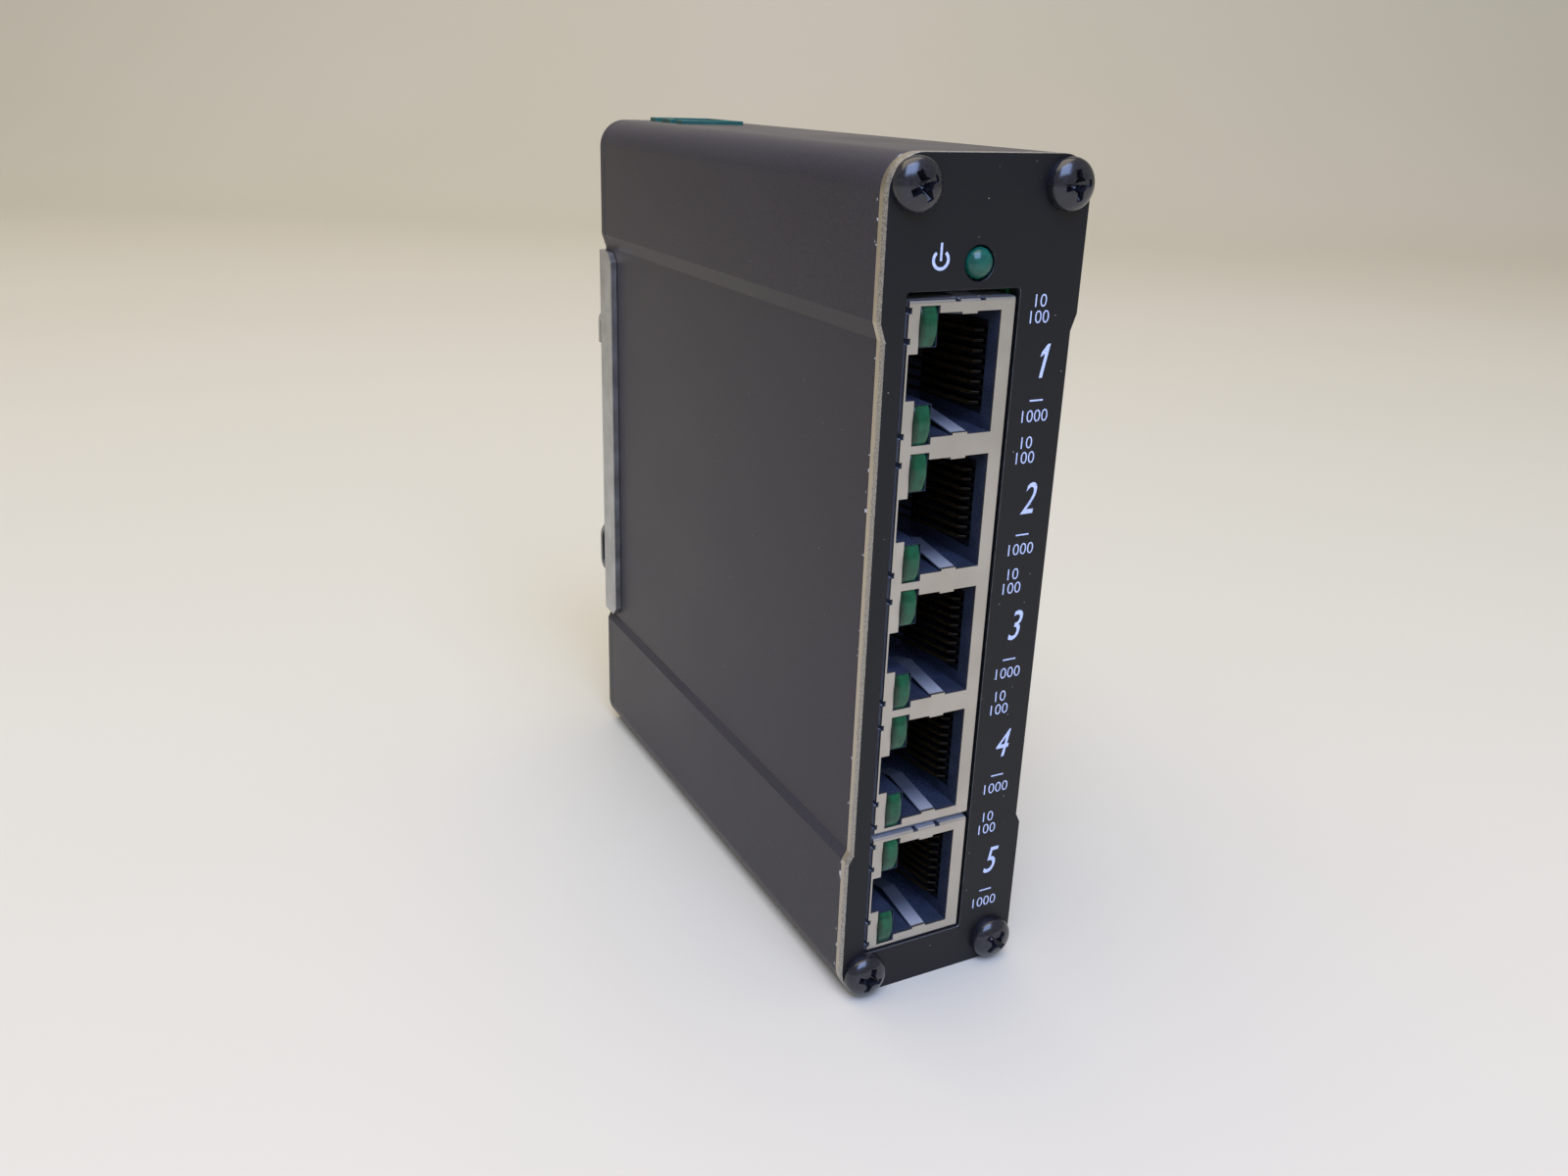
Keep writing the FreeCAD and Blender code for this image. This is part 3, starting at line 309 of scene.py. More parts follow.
def platedWire(name, light, dark, bare=None):
    # plating on a drawn wire, with faint drawing lines; where bare is given, the plating starts behind the
    # front bend and the bend keeps that colour: dull unplated metal, darkened near to black as painted shade
    # of the port's dim inside
    s = wireFinish
    material, tree, shader, place = newMaterial(name, Metallic=1.0)
    lines = noiseField(tree, place, s["line"], 2, stretch=s["lineStretch"])
    colour = ramp(tree, lines, [(0.3, linear(dark)), (0.7, linear(light))])
    if bare:
        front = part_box("port_1_contacts")[0].y
        behind = maths(tree, "SUBTRACT", coordinate(tree, place, "Y"), front)
        depth = maths(tree, "DIVIDE", behind, s["bareDepth"])
        plated = ramp(tree, depth, [(0.2, 0.0), (0.5, 1.0)])
        # the front bend's near-black is partly unplated metal and partly painted shade
        colour = mixColour(tree, plated, linear(bare), colour)
    tree.links.new(colour, shader.inputs["Base Color"])
    rough = ramp(tree, lines, [(0.3, s["rough"][0]), (0.7, s["rough"][1])])
    tree.links.new(rough, shader.inputs["Roughness"])
    return material


moulding = {"mottle": 2.5 * mm, "grain": 0.15 * mm, "relief": 0.003 * mm}


def mouldedPlastic(name, light, dark, roughness):
    # injection-moulded plastic: even colour with a slight flow mottle and the tool's spark-eroded grain
    s = moulding
    material, tree, shader, place = newMaterial(name)
    mottle = noiseField(tree, place, s["mottle"], 2)
    fine = noiseField(tree, place, s["grain"], 2)
    colour = ramp(tree, mottle, [(0.3, linear(dark)), (0.7, linear(light))])
    tree.links.new(colour, shader.inputs["Base Color"])
    rough = ramp(tree, fine, [(0.3, roughness[0]), (0.7, roughness[1])])
    tree.links.new(rough, shader.inputs["Roughness"])
    tree.links.new(bump(tree, fine, s["relief"]), shader.inputs["Normal"])
    return material


epoxy = {"rough": 0.2, "specular": 0.25, "scatter": 0.5, "scatterTint": (0.2, 1.0, 0.6),
         "scatterDepth": 0.6 * mm, "skin": 0.3, "skinRough": 0.05, "cloud": 0.9 * mm, "shadeWidth": 1.0 * mm}


def tintedEpoxy(name, light, dark, clear, shaded=None):
    # cast epoxy lamp body, tinted and diffused: glossy skin over a cloudy, light-passing core; the lamps
    # named by shaded get painted shade, darker along the left, where they lie on black plastic
    s = epoxy
    material, tree, shader, place = newMaterial(name, Roughness=s["rough"], **{
        "Specular IOR Level": s["specular"], "Transmission Weight": clear,
        "Subsurface Weight": s["scatter"], "Subsurface Radius": s["scatterTint"],
        "Subsurface Scale": s["scatterDepth"], "Coat Weight": s["skin"], "Coat Roughness": s["skinRough"]})
    cloud = noiseField(tree, place, s["cloud"], 3)
    colour = ramp(tree, cloud, [(0.3, linear(dark)), (0.7, linear(light))])
    # painted shade: the colour darkens towards the lamp's left edge
    if shaded:
        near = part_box("port_1_" + shaded)[0].x
        inwards = maths(tree, "SUBTRACT", coordinate(tree, place, "X"), near)
        depth = maths(tree, "DIVIDE", inwards, s["shadeWidth"])
        shade = ramp(tree, depth, [(0.15, 0.3), (0.7, 1.0)])
        colour = mixColour(tree, 1.0, colour, shade, "MULTIPLY")
    tree.links.new(colour, shader.inputs["Base Color"])
    return material


mask = {"dark": "#0a331d", "light": "#0e4226", "track": "#1f7042", "rough": 0.28, "cloud": 4 * mm,
        "trackSpacing": 2.2 * mm, "trackWidth": 0.06}


def solderMask():
    # glass-epoxy laminate under green solder mask: glossy, with copper tracks showing as paler lines
    s = mask
    material, tree, shader, place = newMaterial("epoxyLaminateMasked", Roughness=s["rough"])
    tracks = addNode(tree, "ShaderNodeTexBrick", {"Vector": place, "Scale": 1 / s["trackSpacing"],
                                                  "Mortar Size": s["trackWidth"]}).outputs["Fac"]
    cloud = noiseField(tree, place, s["cloud"], 2)
    base = ramp(tree, cloud, [(0.3, linear(s["dark"])), (0.7, linear(s["light"]))])
    tree.links.new(mixColour(tree, tracks, base, linear(s["track"])), shader.inputs["Base Color"])
    return material


inkFilm = {"thin": "#a3b3da", "full": "#d3defb", "rough": 0.55, "mesh": 0.12 * mm}


def screenInk():
    # white screen-printed ink: a thin dull film with a faint mesh texture
    s = inkFilm
    material, tree, shader, place = newMaterial("screenInkPrinted", Roughness=s["rough"])
    mesh = noiseField(tree, place, s["mesh"], 2)
    colour = ramp(tree, mesh, [(0.25, linear(s["thin"])), (0.6, linear(s["full"]))])
    tree.links.new(colour, shader.inputs["Base Color"])
    return material


materials = {
    "sleeve": anodisedAluminium(),
    "plate": coatedPlate(),
    "rim": bareAluminium(),
    "cutEdge": cutAluminium(),
    "clip": drawnMetal("zincPlatedSteelFolded", "#c3c4c6", "#9c9da0", (0.3, 0.45)),
    "latch": drawnMetal("zincPlatedSteelDull", "#8f9092", "#6c6d70", (0.38, 0.52)),
    "spring": drawnMetal("springSteelDrawn", "#b4b4b6", "#8e8e92", (0.22, 0.32)),
    "sheet": nickelPlatedSheet(),
    "screw": blackOxideScrew(),
    # the gold is darker than real gold plating, as painted shade of the ports' dim inside; the bend's
    # near-black is partly unplated metal and partly painted shade
    "gold": platedWire("goldPlatedWireDrawn", "#8a7348", "#5d4a2a", "#1a1713"),
    "tin": platedWire("tinPlatedPinDrawn", "#d4d3cf", "#a5a5a2"),
    # the jack plastic is lighter and bluer than black nylon, as a painted reflection of the window's light
    "jack": mouldedPlastic("glassFilledNylonPaintedSheen", "#363d4e", "#2a303e", (0.22, 0.3)),
    "comb": mouldedPlastic("blackNylonMoulded", "#0f1014", "#090a0d", (0.36, 0.5)),
    "header": mouldedPlastic("polyamideMoulded", "#2c6b60", "#235850", (0.34, 0.44)),
    "holder": mouldedPlastic("whiteNylonMoulded", "#d8d6cf", "#c9c7bf", (0.4, 0.5)),
    "lamp": tintedEpoxy("greenEpoxyCast", "#0f6a44", "#0a5034", 0.25, "lamps"),
    "powerLamp": tintedEpoxy("tealEpoxyCast", "#1f7a68", "#146052", 0.35),
    "board": solderMask(),
    "chip": mouldedPlastic("epoxyMoulded", "#202022", "#161618", (0.5, 0.62)),
    "can": drawnMetal("aluminiumDrawnCan", "#d6d6d8", "#b4b4b8", (0.25, 0.35)),
    "fuse": mouldedPlastic("polymerFuseCoated", "#2c6b45", "#1f5636", (0.5, 0.6)),
    "pad": mouldedPlastic("siliconePadCast", "#9aa0ad", "#868c9a", (0.7, 0.8)),
    "ink": screenInk(),
}
print("materials made:", len(materials))

nodeFinish = {
    "case_sleeve": "sleeve", "rear_plate": "sleeve", "rear_screws": "screw", "rail_clip": "clip",
    "rail_clip_screws": "clip", "rail_latch": "latch", "latch_spring": "spring",
    "circuit_board": "board", "gang_jack_shield": "sheet", "single_jack_shield": "sheet",
    "gang_jack_housing": "jack", "single_jack_housing": "jack", "front_plate": "plate",
    "front_screws": "screw", "power_lamp": "powerLamp", "power_lamp_holder": "holder",
    "power_header": "header", "power_header_pins": "tin", "switch_chip": "chip",
    "thermal_pad": "pad", "memory_chip": "chip", "crystal": "can", "voltage_regulator": "chip",
    "power_inductor": "chip", "input_capacitor": "can", "output_capacitor": "can",
    "input_diode": "chip", "resettable_fuse": "fuse",
}
for number in range(1, 6):
    nodeFinish[f"port_{number}_contacts"] = "gold"
    nodeFinish[f"port_{number}_contact_comb"] = "comb"
    nodeFinish[f"port_{number}_lamps"] = "lamp"
    nodeFinish[f"port_{number}_transformer"] = "chip"

for name, finish in nodeFinish.items():
    nodes[name].data.materials.clear()
    nodes[name].data.materials.append(materials[finish])


def addPiece(name, mesh, body, finishes):
    # links a finished mesh as a piece that rides on a body
    piece = bpy.data.objects.new(name, mesh)
    scene.collection.objects.link(piece)
    for finish in finishes:
        mesh.materials.append(materials[finish])
    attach(piece, body)
    return piece


def smoothByAngle(mesh, degrees):
    # smooth faces, with edges sharper than this angle kept hard
    mesh.polygons.foreach_set("use_smooth", np.ones(len(mesh.polygons), bool))
    mesh.set_sharp_from_angle(angle=math.radians(degrees))


edgeWork = {"merge": 0.0005 * mm, "flatAngle": 1, "segments": 2}


def easedCopy(node, width, body="switch", hardAngle=30, joinFlat=True):
    # a merged copy of a node with its edges eased by a small bevel; it stands for the node. A face with
    # many openings stays in triangles, because one joined face would lose some of them.
    source = nodes[node]
    work = bmesh.new()
    work.from_mesh(source.data)
    bmesh.ops.remove_doubles(work, verts=work.verts, dist=edgeWork["merge"])
    if joinFlat:
        bmesh.ops.dissolve_limit(work, angle_limit=math.radians(edgeWork["flatAngle"]),
                                 verts=work.verts, edges=work.edges)
    mesh = bpy.data.meshes.new(node + "_eased")
    work.to_mesh(mesh)
    work.free()
    piece = addPiece(node + "_eased", mesh, body, [nodeFinish[node]])
    smoothByAngle(mesh, hardAngle)
    if width > 0:
        bevel = piece.modifiers.new("easedEdges", "BEVEL")
        bevel.width = width
        bevel.segments = edgeWork["segments"]
        bevel.limit_method = "ANGLE"
        bevel.angle_limit = math.radians(hardAngle)
        bevel.miter_outer = "MITER_ARC"
    # normals weighed by face area, so that flat faces shade flat beside their small rounds
    evened = piece.modifiers.new("evenedNormals", "WEIGHTED_NORMAL")
    evened.keep_sharp = True
    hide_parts(node)
    return piece


# (width of the bevel, degrees over which an edge stays hard) by node
easing = {"case_sleeve": (0.14 * mm, 12), "rear_plate": (0.1 * mm, 12), "rail_clip": (0.12 * mm, 24),
          "gang_jack_shield": (0.04 * mm, 30), "single_jack_shield": (0.04 * mm, 30),
          "gang_jack_housing": (0.08 * mm, 30), "single_jack_housing": (0.08 * mm, 30),
          "power_header": (0.12 * mm, 30), "power_lamp": (0, 30), "rail_latch": (0.1 * mm, 24)}
for name, (width, hardAngle) in easing.items():
    easedCopy(name, width, "latch" if name == "rail_latch" else "switch", hardAngle,
              not name.endswith(("jack_housing", "latch")))
print("edges eased:", len(easing))

# the front plate's edge faces are left bare; the others are coated
frontPlate = {"ease": 0.1 * mm, "hardAngle": 12, "margin": 0.6 * mm}
platePiece = easedCopy("front_plate", frontPlate["ease"], hardAngle=frontPlate["hardAngle"])
plateMesh = platePiece.data
plateMesh.materials.append(materials["rim"])
plateMesh.materials.append(materials["cutEdge"])
normals = np.zeros(len(plateMesh.polygons) * 3)
centres = np.zeros(len(plateMesh.polygons) * 3)
plateMesh.polygons.foreach_get("normal", normals)
plateMesh.polygons.foreach_get("center", centres)
normals, centres = normals.reshape(-1, 3), centres.reshape(-1, 3)
edgeFaces = np.abs(normals[:, 1]) < 0.5
# an edge face that lies by what stands in an opening belongs to that opening, the others to the rim
openings = np.zeros(len(centres), bool)
for filler in ("gang_jack_shield", "single_jack_shield", "power_lamp"):
    low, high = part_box(filler)
    near = np.array(low) - frontPlate["margin"], np.array(high) + frontPlate["margin"]
    openings |= ((centres > near[0]) & (centres < near[1]))[:, (0, 2)].all(1)
plateMesh.polygons.foreach_set("material_index", (edgeFaces * (1 + openings)).astype(np.int32))
print("front plate made")


def gridMesh(grid):
    # closed surface through points (rows, columns, 3): columns run round the row's axis, ends are capped
    rows, columns = grid.shape[:2]
    index = np.arange(rows * columns).reshape(rows, columns)
    after = np.roll(index, -1, axis=1)
    quads = np.stack([index[:-1], after[:-1], after[1:], index[1:]], -1).reshape(-1, 4)
    mesh = bpy.data.meshes.new("grid")
    mesh.from_pydata(grid.reshape(-1, 3).tolist(), [],
                     quads.tolist() + [index[0, ::-1].tolist(), index[-1].tolist()])
    return mesh


def joined(name, meshes, body, finish, hardAngle=None):
    # several small meshes as one piece
    work = bmesh.new()
    for mesh in meshes:
        work.from_mesh(mesh)
    result = bpy.data.meshes.new(name)
    work.to_mesh(result)
    work.free()
    if hardAngle:
        smoothByAngle(result, hardAngle)
    return addPiece(name, result, body, [finish])


def lampLength(node):
    # height of the lower of a port's two lamps: its vertices end where the gap between them starts
    heights = np.zeros(len(node.data.vertices) * 3)
    node.data.vertices.foreach_get("co", heights)
    heights = heights.reshape(-1, 3)[:, 2]
    middle = (heights.min() + heights.max()) / 2
    return heights[heights < middle].max() - heights.min()


lampShape = {"side": 0.6 * mm, "edge": 0.15 * mm, "sag": 0.5 * mm, "across": 22, "rows": 22,
             "hardAngle": 40}


def lampMesh(low, high):
    # light guide with a domed nose: in height an arc with this sag, R = (h^2 + sag^2) / (2 sag), and
    # across it quarter rounds at both edges, r - sqrt(r^2 - d^2)
    s = lampShape
    half = (high.z - low.z) / 2
    radius = (half ** 2 + s["sag"] ** 2) / (2 * s["sag"])
    z = np.linspace(-half, half, s["rows"])
    recede = radius - np.sqrt(radius ** 2 - z ** 2)
    x = low.x + (high.x - low.x) * (1 - np.cos(np.linspace(0, math.pi, s["across"]))) / 2
    right = np.clip(x - (high.x - s["side"]), 0, s["side"])
    left = np.clip(low.x + s["edge"] - x, 0, s["edge"])
    rounded = (s["side"] - np.sqrt(s["side"] ** 2 - right ** 2)
               + s["edge"] - np.sqrt(s["edge"] ** 2 - left ** 2))
    nose = low.y + recede[:, None] + rounded[None, :]
    foot = np.full((len(z), 1), high.y)
    y = np.hstack([nose, foot, foot])
    columns = np.concatenate([x, [high.x, low.x]])
    grid = np.stack([np.broadcast_to(columns, y.shape), y,
                     np.broadcast_to(z[:, None] + (low.z + high.z) / 2, y.shape)], -1)
    return gridMesh(grid)


for number in range(1, 6):
    node = f"port_{number}_lamps"
    low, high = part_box(node)
    length = lampLength(nodes[node])
    meshes = [lampMesh(low, Vector((high.x, high.y, low.z + length))),
              lampMesh(Vector((low.x, low.y, high.z - length)), high)]
    piece = joined(node + "_domed", meshes, "switch", "lamp", lampShape["hardAngle"])
    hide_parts(node)
print("port lamps made")


# wide and thick are half of the wire's section
contactWire = {"count": 8, "pitch": 1.02 * mm, "wide": 0.2 * mm, "thick": 0.15 * mm, "round": 12,
               "bend": 0.28 * mm, "line": 1.02 * mm, "crest": 2.37 * mm, "turn": 0.5 * mm,
               "free": 10.25 * mm, "step": (1.0 * mm, 1.6 * mm), "reach": 0.9 * mm,
               "bendSteps": 6, "bendShare": 0.45, "hardAngle": 50}


def towards(corner, other):
    # point on a side where a corner's bend begins, at most a share of the side away
    s = contactWire
    return corner + (other - corner) * min(s["bendShare"], s["bend"] / np.linalg.norm(other - corner))


def roundedLine(points):
    # corners become quadratic curves: (1 - t)^2 a + 2 t (1 - t) corner + t^2 b
    t = np.linspace(0, 1, contactWire["bendSteps"])[:, None]
    line = [points[:1]]
    for before, corner, after in zip(points, points[1:], points[2:]):
        start, end = towards(corner, before), towards(corner, after)
        line.append((1 - t) ** 2 * start + 2 * t * (1 - t) * corner + t ** 2 * end)
    return np.vstack(line + [points[-1:]])


def wireMesh(line, level):
    # flattened round wire along a line of (x, y) points at one height
    s = contactWire
    along = np.gradient(line, axis=0)
    along /= np.linalg.norm(along, axis=1)[:, None]
    angle = np.linspace(0, 2 * math.pi, s["round"], endpoint=False)
    thick, wide = s["thick"] * np.cos(angle), s["wide"] * np.sin(angle)
    grid = np.stack([line[:, :1] - along[:, 1:] * thick, line[:, 1:] + along[:, :1] * thick,
                     np.broadcast_to(level + wide, (len(line), len(angle)))], -1)
    return gridMesh(grid)


def contactMeshes(low, high):
    # solder tail, step up to the comb's line, front bend, crest and free end, from the node's own box
    s = contactWire
    tail, line, crest = high.x - s["thick"], high.x - s["line"], high.x - s["crest"]
    bend = low.y + s["thick"]
    rear = high.y - s["reach"]
    points = np.array([(tail, high.y), (tail, rear - s["step"][0]), (line, rear - s["step"][1]),
                       (line, bend + s["turn"]), (line - s["turn"], bend), (crest, bend + s["turn"]),
                       (low.x + s["thick"], low.y + s["free"])])
    path = roundedLine(points)
    middle = (low.z + high.z) / 2
    return [wireMesh(path, middle + (i - (s["count"] - 1) / 2) * s["pitch"]) for i in range(s["count"])]


for number in range(1, 6):
    node = f"port_{number}_contacts"
    piece = joined(node + "_drawn", contactMeshes(*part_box(node)), "switch", "gold",
                   contactWire["hardAngle"])
    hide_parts(node)
print("contacts made")


recess = {"arm": 1.45 * mm, "half": 0.33 * mm, "hub": 0.72 * mm, "depth": 1.5 * mm, "slope": 5,
          "rings": 56, "rimRings": 10, "columns": 144, "margin": 0.15 * mm, "eye": 0.01 * mm,
          "floorRise": 1.15, "hardAngle": 32}
thread = {"columns": 36, "rowsPerTurn": 5, "depth": 0.5, "tip": 0.6, "tipStart": 0.3}


def recessDepth(u, v):
    # cross recess: how far (u, v) lies inside an arm or the round hub, times the walls' slope, down to a
    # floor that falls from the arms' ends to the middle
    s = recess
    reach = np.hypot(u, v)
    inside = np.maximum(np.minimum(s["arm"] - np.abs(u), s["half"] - np.abs(v)),
                        np.minimum(s["arm"] - np.abs(v), s["half"] - np.abs(u)))
    inside = np.maximum(inside, s["hub"] - reach)
    floor = s["depth"] * np.clip(s["floorRise"] - reach / s["arm"], 0, 1)
    return np.clip(inside * s["slope"], 0, floor)


def aroundAxis(seat, axes, radius, angle, height):
    # points at (radius, angle, height) about an axis
    u, v, n = axes
    return (np.array(seat) + (radius * np.cos(angle))[..., None] * u
            + (radius * np.sin(angle))[..., None] * v + height[..., None] * n)


def screwMeshes(seat, outward, turn, kind):
    # a head and a threaded shank in the frame (u, v, outward), with the head's seat at a point
    s = recess
    n = np.array(outward, float)
    u = np.array((-outward[1], 0, 0), float)
    v = np.cross(n, u)
    angle = np.linspace(0, 2 * math.pi, s["columns"], endpoint=False)
    fine = np.linspace(s["arm"] + s["margin"], s["eye"], s["rings"])
    coarse = np.linspace(kind["head"], fine[0], s["rimRings"], endpoint=False)
    ring = np.concatenate([coarse, fine])
    # the crown is an ellipse: rim + (height - rim) * sqrt(1 - (r / R)^2)
    crown = kind["rim"] + (kind["height"] - kind["rim"]) * np.sqrt(1 - (ring / kind["head"]) ** 2)
    radius = np.concatenate([[kind["shank"], kind["head"]], ring])[:, None] * np.ones_like(angle)
    height = np.concatenate([[-kind["cone"], 0], crown])[:, None] * np.ones_like(angle)
    crossed = angle + math.radians(turn)
    across, along = radius * np.cos(crossed), radius * np.sin(crossed)
    height[2:] -= recessDepth(across, along)[2:] * (height[2:] > kind["rim"] - 1e-9)
    head = aroundAxis(seat, (u, v, n), radius, angle, height)
    # thread: the radius falls from the crest by a triangle wave of (turn / 2 pi + height / pitch), and
    # the shank narrows a little over its last turn
    turnAngle = np.linspace(0, 2 * math.pi, thread["columns"], endpoint=False)
    rows = np.arange(-kind["length"], -kind["cone"], kind["pitch"] / thread["rowsPerTurn"])
    level = rows[:, None] * np.ones_like(turnAngle)
    phase = (turnAngle / (2 * math.pi) + level / kind["pitch"]) % 1
    crest = kind["shank"] - kind["pitch"] * thread["depth"] * np.abs(2 * phase - 1)
    point = np.clip((level + kind["length"]) / kind["pitch"], thread["tipStart"], 1)
    narrowed = crest * (thread["tip"] + (1 - thread["tip"]) * point)
    shank = aroundAxis(seat, (u, v, n), narrowed, turnAngle, level)
    return [gridMesh(head), gridMesh(shank)]


def corners(node, inset):
    # centres (x, z) of the four round heads that reach a node's box
    low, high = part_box(node)
    return [(x, z) for x in (low.x + inset, high.x - inset) for z in (low.z + inset, high.z - inset)]


panScrew = {"head": 2.5 * mm, "height": 1.8 * mm, "rim": 0.42 * mm, "cone": 0, "shank": 1.25 * mm,
            "length": 8.9 * mm, "pitch": 0.45 * mm, "turns": (18, 62, 40, 80)}
clipScrew = {"head": 2.7 * mm, "height": 1.8 * mm, "rim": 0.42 * mm, "cone": 0, "shank": 1.5 * mm,
             "length": 4.4 * mm, "pitch": 0.5 * mm, "turns": (25, 68)}
flatScrew = {"head": 2.1 * mm, "height": 0, "rim": 0, "cone": 1.1 * mm, "shank": 1.25 * mm,
             "length": 8.9 * mm, "pitch": 0.45 * mm, "turns": (10, 55, 33, 74)}
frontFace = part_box("front_plate")[0].y
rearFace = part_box("rear_plate")[1].y
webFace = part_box("rail_clip_screws")[1].y - clipScrew["height"]


def placeScrews(node, kind, places, level, outward):
    # one piece that stands for a node of screws, each recess turned by its own degrees
    meshes = []
    for (x, z), turn in zip(places, kind["turns"]):
        meshes += screwMeshes((x, level, z), (0, outward, 0), turn, kind)
    piece = joined(node + "_detailed", meshes, "switch", nodeFinish[node], recess["hardAngle"])
    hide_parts(node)


placeScrews("front_screws", panScrew, corners("front_screws", panScrew["head"]), frontFace, -1)
placeScrews("rear_screws", flatScrew, corners("rear_screws", flatScrew["head"]), rearFace, 1)
clipLow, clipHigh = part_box("rail_clip_screws")
placeScrews("rail_clip_screws", clipScrew,
            [(0, clipLow.z + clipScrew["head"]), (0, clipHigh.z - clipScrew["head"])], webFace, 1)
print("screws made")

spring = {"wire": 0.45 * mm, "turns": 4, "closed": 0.9, "steps": 40, "round": 14, "keep": 0.541,
          "hardAngle": 50}


def springMesh():
    # round wire along a helix whose first and last turns lie almost flat on each other
    s = spring
    low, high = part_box("latch_spring")
    half = s["wire"] / 2
    middle = (low + high) / 2
    coil = (high.x - low.x) / 2 - half
    total = s["turns"] + 2 * s["closed"]
    turned = np.linspace(0, total, int(total * s["steps"]))
    rise = np.interp(turned, [0, s["closed"], total - s["closed"], total],
                     [low.z + half, low.z + half + s["wire"] * s["closed"],
                      high.z - half - s["wire"] * s["closed"], high.z - half])
    angle = 2 * math.pi * turned
    outward = np.stack([np.cos(angle), np.sin(angle), np.zeros_like(angle)], -1)
    centre = outward * coil + np.stack([np.full_like(rise, middle.x), np.full_like(rise, middle.y), rise], -1)
    around = np.linspace(0, 2 * math.pi, s["round"], endpoint=False)
    up = np.array((0, 0, 1.0))
    grid = (centre[:, None] + half * np.cos(around)[None, :, None] * up
            + half * np.sin(around)[None, :, None] * outward[:, None])
    return gridMesh(grid)


springPiece = joined("latch_spring_round", [springMesh()], "switch", "spring", spring["hardAngle"])
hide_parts("latch_spring")
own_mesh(springPiece)
print("spring made")

printing = {"height": 3.3 * mm, "slant": 0.28, "narrow": 0.72, "weight": 0.004, "film": 0.006 * mm,
            "capShare": 0.7, "dash": 1.6 * mm, "signGap": (128, 412), "signSteps": 40,
            "number": (7.62 * mm, 0.75 * mm), "upper": (6.6 * mm, 5.85 * mm), "lower": (7.25 * mm, -3.9 * mm),
            "small": 1.25 * mm, "thin": -0.012, "rowGap": 1.55 * mm, "stroke": 0.16 * mm,
            "sign": (-5.2 * mm, 79.9 * mm), "ring": 0.95 * mm, "signStroke": 0.3 * mm,
            "barWide": 0.8, "barLong": 1.7, "barRise": 0.75}


def stood(points, centre):
    # flat (x, y) points stood up on the plate's face round a centre (x, z)
    return np.column_stack([points[:, 0] + centre[0], np.full(len(points), frontFace - printing["film"]),
                            points[:, 1] + centre[1]])


def printedText(text, centre, height, slant=0.0, narrow=1.0, weight=0.0):
    # flat lettering made a mesh, then stood up on the plate's face
    curve = bpy.data.curves.new("lettering", "FONT")
    curve.body = text
    curve.size = height / printing["capShare"]
    curve.shear = slant
    curve.offset = weight * height
    curve.resolution_u = 4
    letters = bpy.data.objects.new("lettering", curve)
    scene.collection.objects.link(letters)
    flat = bpy.data.meshes.new_from_object(letters.evaluated_get(bpy.context.evaluated_depsgraph_get()))
    bpy.data.objects.remove(letters)
    points = np.zeros(len(flat.vertices) * 3)
    flat.vertices.foreach_get("co", points)
    points = points.reshape(-1, 3)
    middle = (points.min(0) + points.max(0)) / 2
    flat.vertices.foreach_set("co", stood((points - middle) * (narrow, 1, 1), centre).ravel())
    flat.update()
    return flat


def printedStrip(inner, outer, centre):
    # ink between two lines of (x, y) points
    count = len(inner)
    mesh = bpy.data.meshes.new("strip")
    quads = [(i, i + 1, count + i + 1, count + i) for i in range(count - 1)]
    mesh.from_pydata(stood(np.vstack([inner, outer]), centre).tolist(), [], quads)
    return mesh


def bar(width, height, centre):
    # a rectangle of ink on the plate
    edge = np.array([(-width / 2, -height / 2), (width / 2, -height / 2)])
    return printedStrip(edge, edge * (1, -1), centre)


def numeralOne(centre):
    # an upright with a flag at its upper left, in shares of the height, leaning like the other numerals
    p = printing
    outline = np.array([(-0.02, 0.76), (-0.02, 0.62), (0.17, 0.72), (0.17, 0), (0.33, 0), (0.33, 1),
                        (0.2, 1)])
    points = (outline - (0.18, 0.5)) * p["height"]
    points[:, 0] += points[:, 1] * p["slant"]
    mesh = bpy.data.meshes.new("one")
    mesh.from_pydata(stood(points * (p["narrow"], 1), centre).tolist(), [], [(0, 1, 2, 6), (2, 3, 4, 5, 6)])
    return mesh


def powerSign():
    # open ring with a stroke through its gap
    p = printing
    angle = np.radians(np.linspace(*p["signGap"], p["signSteps"]))
    circle = np.stack([np.cos(angle), np.sin(angle)], -1)
    ring = printedStrip(circle * p["ring"], circle * (p["ring"] - p["signStroke"]), p["sign"])
    middle = (p["sign"][0], p["sign"][1] + p["ring"] * p["barRise"])
    stroke = bar(p["signStroke"] * p["barWide"], p["ring"] * p["barLong"], middle)
    return [ring, stroke]


def portPrint(number, z):
    # a port's number, with two small plain figures above it, and a dash and a third figure below it
    p = printing
    x, rise = p["number"]
    meshes = [numeralOne((x, z + rise)) if number == 1 else
              printedText(str(number), (x, z + rise), p["height"], p["slant"], p["narrow"], p["weight"])]
    x, rise = p["upper"]
    for row, text in enumerate(("10", "100")):
        meshes.append(printedText(text, (x, z + rise + (0.5 - row) * p["rowGap"]), p["small"],
                                  weight=p["thin"]))
    x, rise = p["lower"]
    meshes.append(bar(p["dash"], p["stroke"], (x, z + rise + p["rowGap"] / 2)))
    meshes.append(printedText("1000", (x, z + rise - p["rowGap"] / 2), p["small"], weight=p["thin"]))
    return meshes


portBoxes = [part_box(f"port_{n}_contacts") for n in range(1, 6)]
printMeshes = powerSign()
for number, (low, high) in enumerate(portBoxes, 1):
    printMeshes += portPrint(number, (low.z + high.z) / 2)
joined("front_print", printMeshes, "switch", "ink")
print("print made")

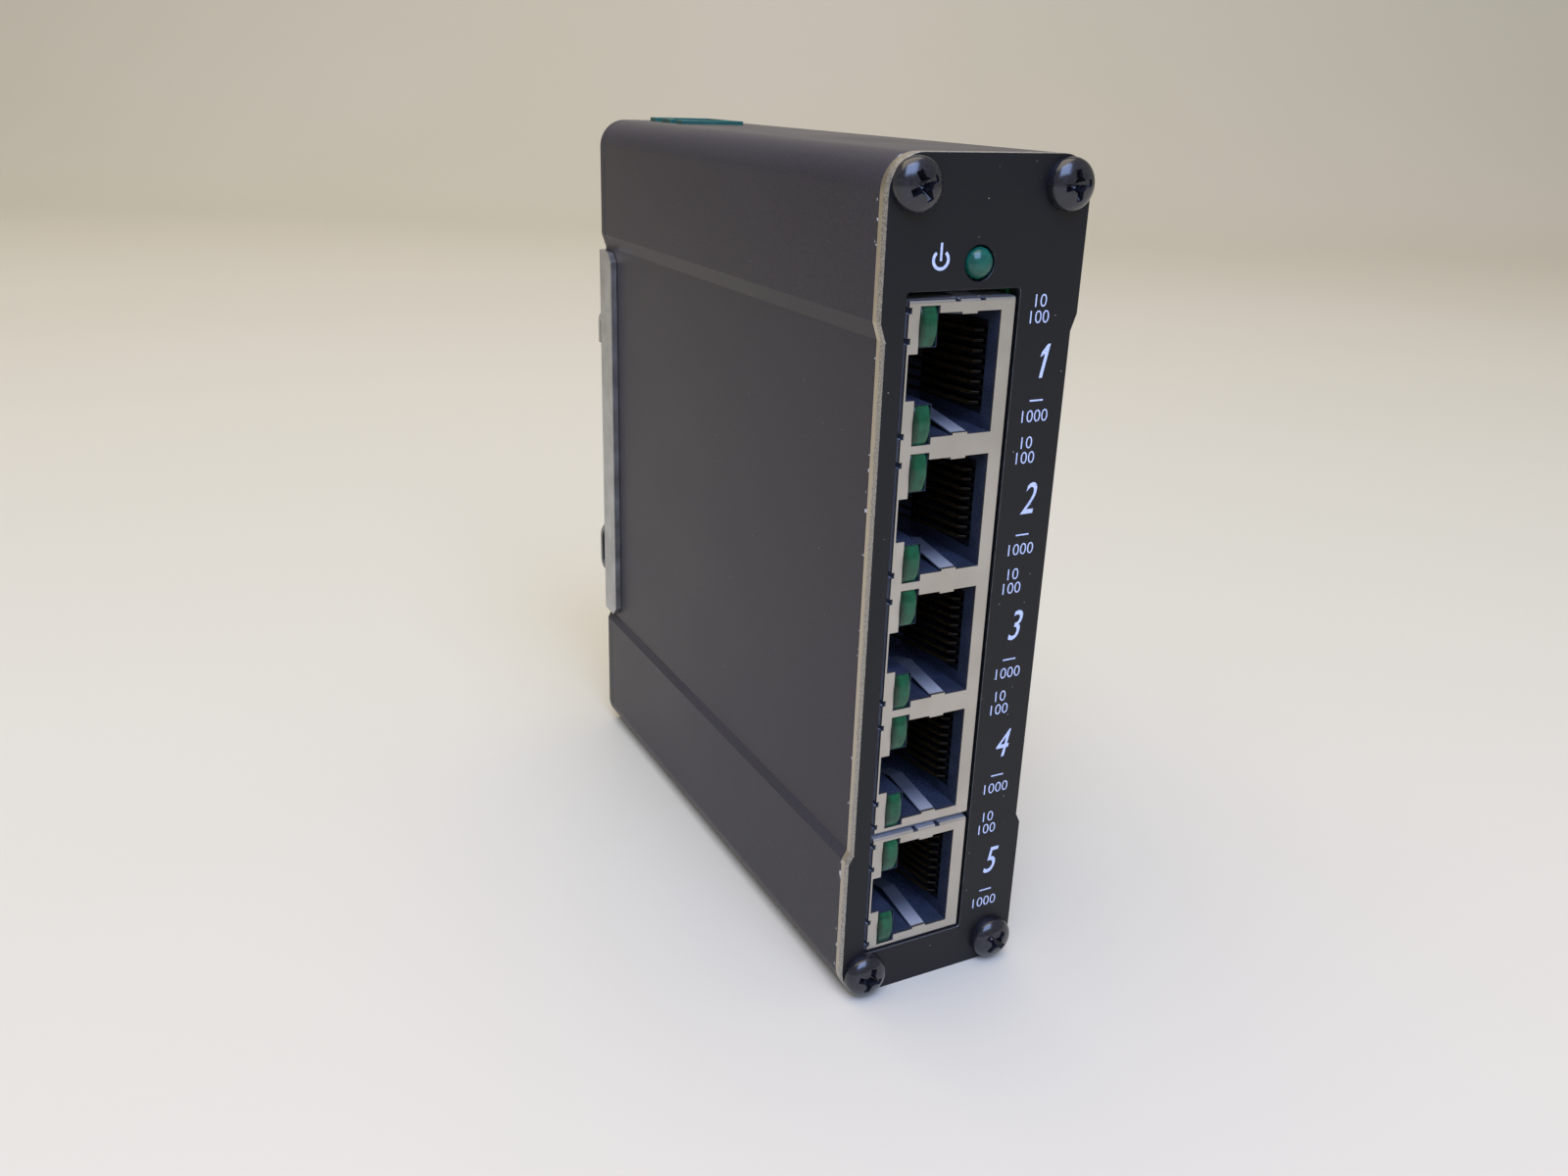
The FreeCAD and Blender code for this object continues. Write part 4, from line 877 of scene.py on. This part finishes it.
stage = {"floor": "#d2cfba", "wall": "#d8d1c1", "rough": 0.55, "shade": 0.4, "size": 3.0,
         "curveStart": 0.75, "radius": 0.5, "wallTop": 2.4, "turn": 27.6, "flatRows": 4, "arcRows": 24}


def sweepFloor():
    # floor that curves up into a wall behind: z = radius * (1 - cos a) along an arc after a flat run
    s = stage
    flat = np.linspace(-s["size"], s["curveStart"], s["flatRows"])
    turn = np.linspace(0, math.pi / 2, s["arcRows"])
    y = np.concatenate([flat, s["curveStart"] + s["radius"] * np.sin(turn[1:]),
                        [s["curveStart"] + s["radius"]]])
    z = np.concatenate([flat * 0, s["radius"] * (1 - np.cos(turn[1:])), [s["wallTop"]]])
    across = np.array([-s["size"], s["size"]])
    points = np.stack(np.broadcast_arrays(across[None, :], y[:, None], z[:, None]), -1)
    # the sweep is turned to face the camera
    angle = -math.radians(s["turn"])
    turned = points @ np.array([[math.cos(angle), math.sin(angle), 0],
                                [-math.sin(angle), math.cos(angle), 0], [0, 0, 1]])
    rows = len(y)
    index = np.arange(rows * 2).reshape(rows, 2)
    quads = np.stack([index[:-1, 0], index[:-1, 1], index[1:, 1], index[1:, 0]], -1)
    mesh = bpy.data.meshes.new("floor")
    mesh.from_pydata(turned.reshape(-1, 3).tolist(), [], quads.tolist())
    mesh.polygons.foreach_set("use_smooth", np.ones(len(mesh.polygons), bool))
    floor = bpy.data.objects.new("floor", mesh)
    scene.collection.objects.link(floor)
    material, tree, shader, place = newMaterial("paintedSweepMatte", Roughness=s["rough"])
    shade = noiseField(tree, place, s["shade"], 2)
    colour = ramp(tree, shade, [(0.2, linear(s["floor"])), (0.8, linear(s["wall"]))])
    tree.links.new(colour, shader.inputs["Base Color"])
    mesh.materials.append(material)


sweepFloor()

view = {"place": (-72.673 * mm, -139.196 * mm, 94.088 * mm), "towards": (0.43277, 0.82624, -0.36062),
        "roll": 2.023, "lens": 29.776, "sensor": 36, "clip": (0.01, 20)}
camera = bpy.data.objects.new("camera", bpy.data.cameras.new("camera"))
scene.collection.objects.link(camera)
camera.data.lens = view["lens"]
camera.data.sensor_width = view["sensor"]
camera.data.clip_start, camera.data.clip_end = view["clip"]
level = Vector(view["towards"]).to_track_quat("-Z", "Y").to_matrix()
rolled = level @ Matrix.Rotation(math.radians(view["roll"]), 3, "Z")
camera.matrix_world = Matrix.Translation(Vector(view["place"])) @ rolled.to_4x4()
scene.camera = camera


lights = {
    "window": {"place": (-0.2, -0.62, 0.8), "aim": (0, 0, 0.05), "size": 0.75, "power": 13,
               "colour": "#adc5ff"},
    "ceiling": {"place": (-0.15, 0.15, 1.2), "aim": (0, 0, 0.03), "size": 1.3, "power": 11,
                "colour": "#fff0da"},
}


def areaLamp(name, place, aim, size, power, colour):
    # a square lamp turned towards the point that it lights
    lamp = bpy.data.objects.new(name, bpy.data.lights.new(name, "AREA"))
    lamp.data.size = size
    lamp.data.energy = power
    lamp.data.color = linear(colour)[:3]
    lamp.location = place
    lamp.rotation_euler = (Vector(aim) - Vector(place)).to_track_quat("-Z", "Y").to_euler()
    scene.collection.objects.link(lamp)


for name, settings in lights.items():
    areaLamp(name, **settings)

roomLight = {"colour": "#cdc8bf", "strength": 0.55}
world = bpy.data.worlds.new("room")
scene.world = world
world.use_nodes = True
world.node_tree.nodes["Background"].inputs["Color"].default_value = linear(roomLight["colour"])
world.node_tree.nodes["Background"].inputs["Strength"].default_value = roomLight["strength"]

scene.view_settings.view_transform = "Standard"
print("stage, camera and lamps placed")
